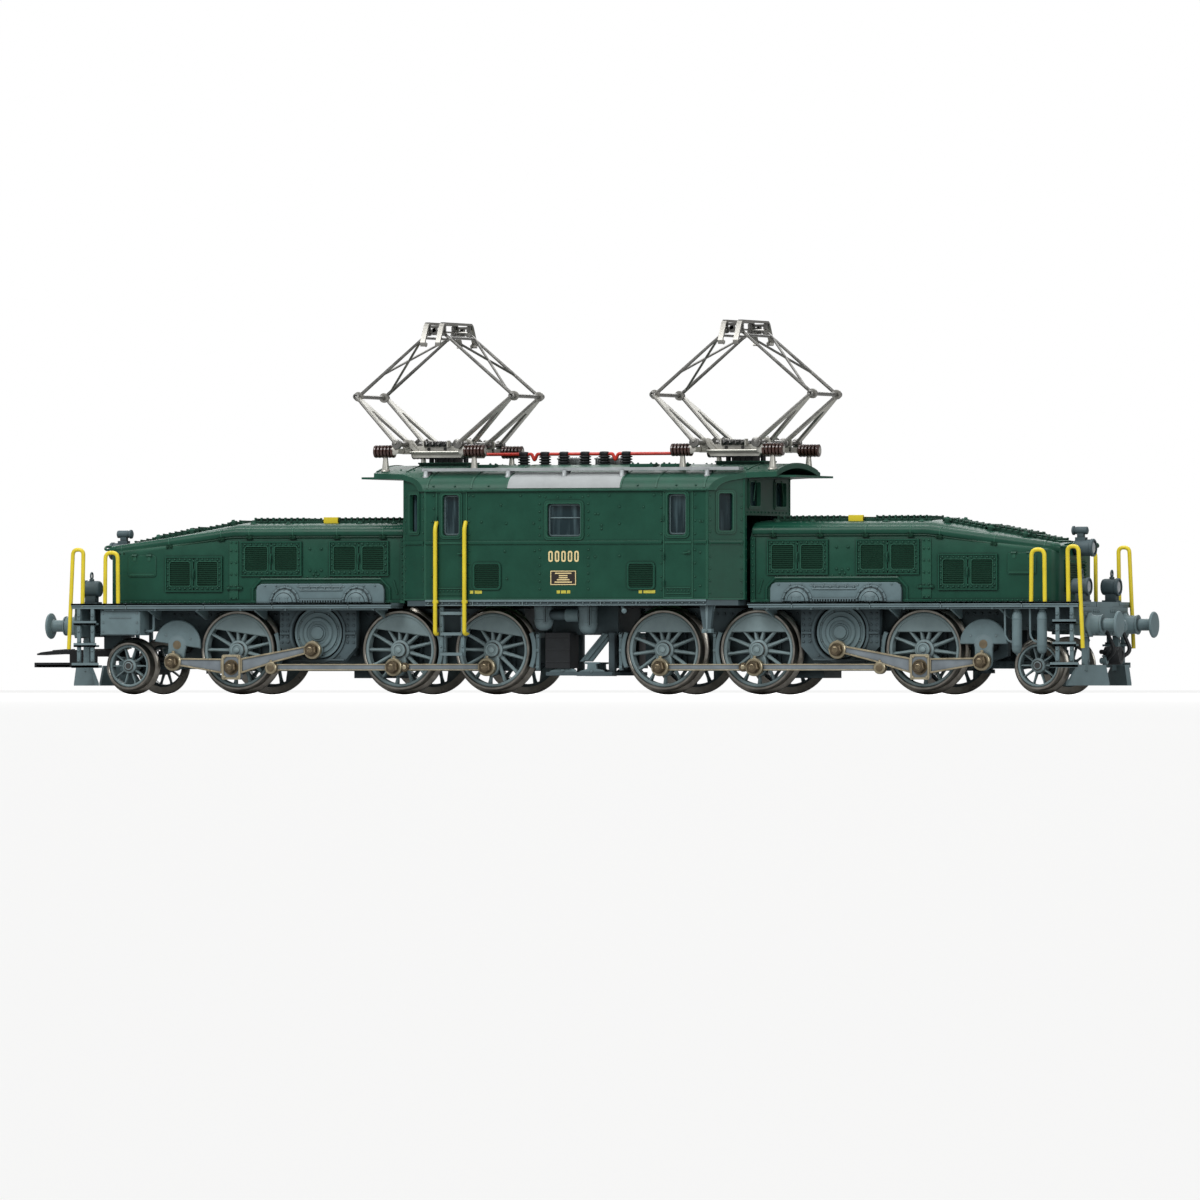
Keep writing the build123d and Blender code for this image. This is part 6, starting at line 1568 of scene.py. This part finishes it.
# slanted corner walls and end walls
for xs in (-1, 1):
    for ys in (-1, 1):
        along = Vector((xs * 6.1, -ys * 4.2, 0)).normalized()
        normal = Vector((xs * 4.2, ys * 6.1, 0)).normalized()
        centre = Vector((xs * 32.35, ys * 14.4, 0))
        place = Matrix(((along.x, normal.x, 0, centre.x), (along.y, normal.y, 0, centre.y), (0, 0, 1, 0),
                        (0, 0, 0, 1)))
        trim.at(place)
        framed(trim, -1.55, 1.55, 31.4, 39.0, "xz", -0.5, 0.18, r=0.45)
        trim.prism([(-0.1, 29.0), (0.2, 29.12), (0.27, 29.4), (0.2, 29.68), (-0.1, 29.8)],
                   "yz", -3.3, 3.3)
        trim.box(-3.5, 3.5, -0.1, 0.12, 18.3, 18.6)
        trim.rivets((-3.1, 0, 19.6), (-3.1, 0, 38.4), 9, ACROSS, 0.12)
        trim.rivets((3.1, 0, 19.6), (3.1, 0, 38.4), 9, ACROSS, 0.12)
        trim.at()
        wx = xs * 35.4
        u0, u1 = sorted((ys * 4.0, ys * 10.0))
        framed(trim, u0, u1, 36.2, 41.2, "yz", wx - xs * 0.5, wx + xs * 0.18, r=0.5)
        trim.rod((wx - xs * 0.1, ys * 12.25, 18.4), (wx - xs * 0.1, ys * 12.25, 41.8), 0.28, 8)
        trim.rivets((wx, ys * 11.5, 19.6), (wx, ys * 11.5, 34.4), 8, (xs, 0, 0), 0.13)
        # wiper
        trim.rod((wx + xs * 0.35, ys * 7.0, 41.4), (wx + xs * 0.35, ys * 8.2, 37.4), 0.1, 6)
    trim.rivets((wx, -10.6, 35.2), (wx, 10.6, 35.2), 12, (xs, 0, 0), 0.13)
trim.piece("cab_trim", [green, green_dark], "cab_body", "green_paint")
marks.piece("cab_marks", [cream, plate_dark, yellow_print], "cab_body", "yellow_wire")

rails = Shape()
for sign in (-1, 1):
    for rail_x in (-26.9, -20.8):
        x, y = -sign * rail_x, sign
        rails.paint = 0
        rails.tube(bent([(x, y * 15.6, 11.8), (x, y * 17.2, 11.8), (x, y * 17.2, 32.2),
                         (x, y * 16.4, 33.5)], 0.6, 6), 0.41, 12)
        rails.turn([(0.55, -0.3), (0.58, -0.2), (0.58, 0.2), (0.55, 0.3)], (x, y * 17.0, 18.0), UP, 14)
        rails.paint = 1
        rails.box(x - 0.35, x + 0.35, y * 15.3, y * 16.2, 11.3, 12.3)
rails.piece("cab_grab_rails", [yellow, grey], "cab_body", "yellow_wire", ["cab_handrails"])

ladder = Shape()
for sign in (-1, 1):
    for post_x in (-26.1, -21.6):
        x = -sign * post_x
        ladder.box(x - 0.35, x + 0.35, sign * 15.3, sign * 16.15, 7.5, 17.2)
        for z in (9.3, 13.4, 16.6):
            ladder.rivet((x, sign * 16.15, z), (0, sign, 0), 0.15)
    for z in (7.6, 11.5, 15.5):
        x0, x1 = sorted((sign * 26.2, sign * 21.5))
        ladder.box(x0, x1, sign * 15.3, sign * 16.4, z, z + 0.35,
                   x0, x1, sign * 16.25, sign * 16.5, z - 0.05, z + 0.55)
        for k in range(6):
            u = x0 + 0.55 + k * 0.72
            ladder.box(u - 0.1, u + 0.1, sign * 15.5, sign * 16.2, z + 0.3, z + 0.45)
ladder.piece("cab_ladders", [grey], "cab_body", "grey_plastic", ["cab_steps"], bevel=0.04)


# ---------------------------------------------------------------- roof
EDGE_ARC = arc3((16.8, 39.4), (16.05, 41.15), (14.2, 42.3), 8)
TOP_ARC = arc3((14.2, 42.3), (0, 44.65), (-14.2, 42.3), 24)


def roof_height(y):
    """Height of the roof's skin over y."""
    y = abs(y)
    best = [(a, b) for a, b in zip(TOP_ARC, TOP_ARC[1:]) if b[0] <= y <= a[0]]
    if best:
        (y0, z0), (y1, z1) = best[0]
        return z0 + (z1 - z0) * (y - y0) / (y1 - y0)
    return 42.3


def on_roof(s, x0, x1, line, lift, thick):
    """Curved sheet lying on the roof between two X, following a list of (y, z)."""
    def shifted(points, amount):
        """The line moved outwards from the roof by an amount."""
        out = []
        for i, p in enumerate(points):
            a, b = points[max(0, i - 1)], points[min(len(points) - 1, i + 1)]
            t = Vector((b[0] - a[0], b[1] - a[1])).normalized()
            n = Vector((t.y, -t.x))
            if n.dot(Vector((p[0], p[1] - 30))) < 0:
                n = -n
            out.append((p[0] + n.x * amount, p[1] + n.y * amount))
        return out
    top, low = shifted(line, lift + thick), shifted(line, lift)
    s.grid_sheet([[(x, y, z) for y, z in top] for x in (x0, x1)],
                 [[(x, y, z) for y, z in low] for x in (x0, x1)])


skin = Shape()
whole = EDGE_ARC[1:] + TOP_ARC[1:-1] + [(-y, z) for y, z in reversed(EDGE_ARC[1:])]
for x0 in (-29.0, -19.8, -12.4, 11.3, 18.6, 28.6):
    on_roof(skin, x0, x0 + 0.4, whole, -0.06, 0.16)
arch = [p for p in TOP_ARC if abs(p[0]) <= 11.6]
for x0 in (-41.9, -35.6, 35.2, 41.5):
    on_roof(skin, x0, x0 + 0.4, arch, -0.06, 0.2)
for side in (NEAR, FAR):
    skin.prism([(side * 16.55, 39.3), (side * 17.0, 39.35), (side * 17.0, 39.62), (side * 16.72, 39.75),
                (side * 16.5, 39.6)], "yz", -29.4, 29.4)
    for x in (-27.5, -23.0, -16.0, 15.0, 23.0, 27.0):
        skin.rivet((x, side * 16.62, 40.4), (0, side, 0.4), 0.13)
for side in (NEAR, FAR):
    for k in range(30):
        x = -40.0 + k * 80 / 29
        skin.rivet((x, side * 9.3, roof_height(9.3)), (0, side * 0.2, 1), 0.13)
# hatches between the walkways
for hx in (-21.0, 12.5, 19.0):
    for a, b in ((-8.4, -4.6), (4.6, 8.4)):
        skin.box(hx - 2.4, hx + 2.4, a, b, 43.2, roof_height(min(abs(a), abs(b))) + 0.25)
        for u in (-1.9, 1.9):
            for v in (a + 0.5, b - 0.5):
                skin.bolt((hx + u, v, roof_height(min(abs(a), abs(b))) + 0.25), UP, 0.25)
skin.piece("roof_seams", [green_top], "cab_body", "green_paint", bevel=0.03)

band = Shape()
for side in (NEAR, FAR):
    line = [(side * y, z) for y, z in EDGE_ARC[1:] + TOP_ARC[1:3]]
    x0, x1 = (-12.1, 11.3) if side < 0 else (-11.3, 12.1)
    on_roof(band, x0, x1, line, -0.04, 0.13)
band.piece("roof_edge_bands", [silver], "cab_body", "silver_paint")

GRATING_BARS = 92
planks = Shape()
for side in (NEAR, FAR):
    m = 1 if side < 0 else -1
    x0, x1 = sorted((m * -30.9, m * 35.0))
    for y0, y1 in ((11.7, 11.95), (12.9, 13.1), (14.05, 14.3)):
        planks.box(x0, x1, side * y0, side * y1, 43.3, 43.9)
    for k in range(GRATING_BARS + 1):
        x = x0 + 0.12 + (x1 - x0 - 0.24) * k / GRATING_BARS
        planks.box(x - 0.13, x + 0.13, side * 11.8, side * 14.2, 43.5, 43.84)
    for post in (-30.0, -12.8, -1.1, 10.9, 28.5):
        planks.turn([(0.62, 41.9), (0.62, 42.55), (0.45, 42.7), (0.45, 43.35)],
                    (m * post, side * 13.0, 0), UP, 14)
        planks.turn([(0.62, 42.0), (0.62, 42.3), (0.5, 42.45), (0.42, 43.4)],
                    (m * post, side * 14.35, 0), UP, 14)
        planks.box(m * post - 0.35, m * post + 0.35, side * 11.8, side * 14.2, 43.1, 43.4)
planks.piece("roof_gratings", [walk_grey], "cab_body", "silver_paint", ["roof_walkways"])

BUS_Z = 46.75
wire = Shape()
run = [(-25.8, 0, BUS_Z), (-14.2, 0, BUS_Z), (-13.6, 0, BUS_Z + 0.05), (-13.0, 0, 45.5),
       (-12.4, 0, BUS_Z + 0.05), (-11.8, 0, BUS_Z), (2.6, 0, BUS_Z), (3.3, 0, BUS_Z + 0.05),
       (3.9, 0, 45.5), (4.5, 0, BUS_Z + 0.05), (5.2, 0, BUS_Z), (19.2, 0, BUS_Z)]
wire.tube(bent(run, 0.35, 5), 0.33, 12)
for x in (-25.6, 19.0):
    wire.turn([(0.4, -0.3), (0.5, -0.2), (0.5, 0.3), (0.36, 0.4)], (x, 0, BUS_Z), ALONG, 12)
wire.piece("bus_wire", [red], "cab_body", "red_wire", ["roof_busbar"])

posts = Shape()
for x in (-15.2, -10.8, -6.8, -2.4, 1.6, 6.2):
    z0 = 44.55
    profile = [(1.25, 0), (1.25, 0.22), (0.8, 0.3)]
    for k in range(3):
        m = 0.42 + k * 0.52
        profile += [(0.82, m), (1.16, m + 0.1), (1.2, m + 0.2), (1.12, m + 0.32), (0.8, m + 0.42)]
    profile += [(0.8, 2.02), (1.0, 2.1), (1.0, 2.45), (0.8, 2.66), (0.3, 2.7)]
    posts.turn(profile, (x, 0, z0), UP, 26)
posts.piece("bus_insulators", [black], "cab_body", "black_plastic", ["roof_insulators"])

gear = Shape()
for x0, x1 in ((-9.0, -3.9), (-1.2, 4.6)):
    gear.box(x0, x1, 2.2, 5.8, 43.9, 45.85,  x0 - 0.15, x1 + 0.15, 2.05, 5.95, 45.7, 46.0)
    for k in range(5):
        u = x0 + 0.6 + k * (x1 - x0 - 1.2) / 4
        gear.box(u - 0.12, u + 0.12, 2.0, 2.3, 44.3, 45.7)
    gear.rivets((x0 + 0.4, 2.3, 46.0), (x1 - 0.4, 2.3, 46.0), 6, UP, 0.12)
    gear.rivets((x0 + 0.4, 5.7, 46.0), (x1 - 0.4, 5.7, 46.0), 6, UP, 0.12)
for c in (-PANTO_X, PANTO_X):
    gear.paint = 2
    gear.box(c - 5.0, c + 5.0, -3.2, 3.2, 44.1, 45.1,  c - 5.15, c + 5.15, -3.35, 3.35, 44.9, 45.2)
    gear.paint = 1
    gear.box(c - 2.2, c + 2.2, -2.0, 2.0, 45.1, 46.0,  c - 2.35, c + 2.35, -2.15, 2.15, 45.85, 46.2)
    for k in range(4):
        u = c - 1.65 + k * 1.1
        for side in (NEAR, FAR):
            gear.box(u - 0.15, u + 0.15, side * 1.9, side * 2.2, 45.2, 45.9)
    for u in (-3.6, 3.6):
        gear.rod((c + u, 0, 45.1), (c + u, 0, 46.9), 0.5, 12)
gear.piece("roof_gear", [silver, black, green_top], "cab_body", "silver_paint", ["roof_equipment"],
           bevel=0.05)


# ---------------------------------------------------------------- stage
def area_light(name, location, target, size, power):
    """White rectangular light aimed at target."""
    light = bpy.data.lights.new(name, "AREA")
    light.shape = "RECTANGLE"
    light.size, light.size_y = size
    light.energy = power
    obj = bpy.data.objects.new(name, light)
    obj.location = location
    obj.rotation_euler = (Vector(target) - Vector(location)).to_track_quat("-Z", "Y").to_euler()
    bpy.context.scene.collection.objects.link(obj)


area_light("key", (-0.35, -0.75, 0.85), (0, 0, 0.03), (0.7, 0.5), 8.0)
area_light("fill", (0.75, -0.6, 0.35), (0, 0, 0.03), (0.5, 0.4), 2.6)
area_light("top", (0.0, 0.15, 1.0), (0, 0, 0.03), (1.0, 0.6), 5)
area_light("back", (-0.3, 0.9, 0.5), (0, 0, 0.04), (0.8, 0.5), 3)

WHITE = (1.0, 1.0, 1.0, 1)
world = bpy.data.worlds.new("studio")
bpy.context.scene.world = world
world.use_nodes = True
studio = Wiring(world.node_tree)
sky = studio.nodes["Background"]
sky.inputs["Color"].default_value = WHITE
sky.inputs["Strength"].default_value = 0.3
backdrop = studio.add("Background", Color=WHITE, Strength=1.0)
chooser = studio.add("MixShader")
studio.join(studio.add("LightPath"), "Is Camera Ray", chooser, "Fac")
studio.join(sky, "Background", chooser, 1)
studio.join(backdrop, "Background", chooser, 2)
studio.join(chooser, "Shader", studio.nodes["World Output"], "Surface")
bpy.context.scene.view_settings.view_transform = "Standard"

# the camera sees a floor that is lifted towards white; the model is lit by a duller one
FLOOR = 40.0
floor_mesh = bpy.data.meshes.new("floor")
floor_mesh.from_pydata([(-FLOOR, -FLOOR, 0), (FLOOR, -FLOOR, 0), (FLOOR, FLOOR, 0), (-FLOOR, FLOOR, 0)],
                       [], [(0, 1, 2, 3)])
floor = bpy.data.objects.new("floor", floor_mesh)
floor_paint = coat("floor_paint", (0.80, 0.80, 0.79), 0.8, mottle=0.01, grain=3, bump=0.02, fine=200,
                   corner_shade=0.0, specular=0.1)
ground = Wiring(floor_paint.node_tree)
glow = ground.add("Emission", Color=WHITE, Strength=0.66)
lifted = ground.add("AddShader")
seen = ground.add("MixShader")
dull = ground.add("BsdfDiffuse", Color=(0.42, 0.42, 0.42, 1))
ground.join(ground.nodes["Principled BSDF"], "BSDF", lifted, 0)
ground.join(glow, "Emission", lifted, 1)
ground.join(ground.add("LightPath"), "Is Camera Ray", seen, "Fac")
ground.join(dull, "BSDF", seen, 1)
ground.join(lifted, "Shader", seen, 2)
ground.join(seen, "Shader", ground.nodes["Material Output"], "Surface")
floor_mesh.materials.append(floor_paint)
bpy.context.scene.collection.objects.link(floor)

camera = bpy.data.cameras.new("camera")
camera.sensor_width = 36.0
camera.lens = 463.5
camera.shift_y = 0.075
camera.clip_start, camera.clip_end = 0.01, 100
camera_object = bpy.data.objects.new("camera", camera)
azimuth, distance = math.radians(21.5), 3.0
camera_object.location = (0.67 * MM + distance * math.sin(azimuth), -distance * math.cos(azimuth),
                          0.9 * MM)
camera_object.rotation_euler = (math.radians(90), 0, azimuth)
bpy.context.scene.collection.objects.link(camera_object)
bpy.context.scene.camera = camera_object
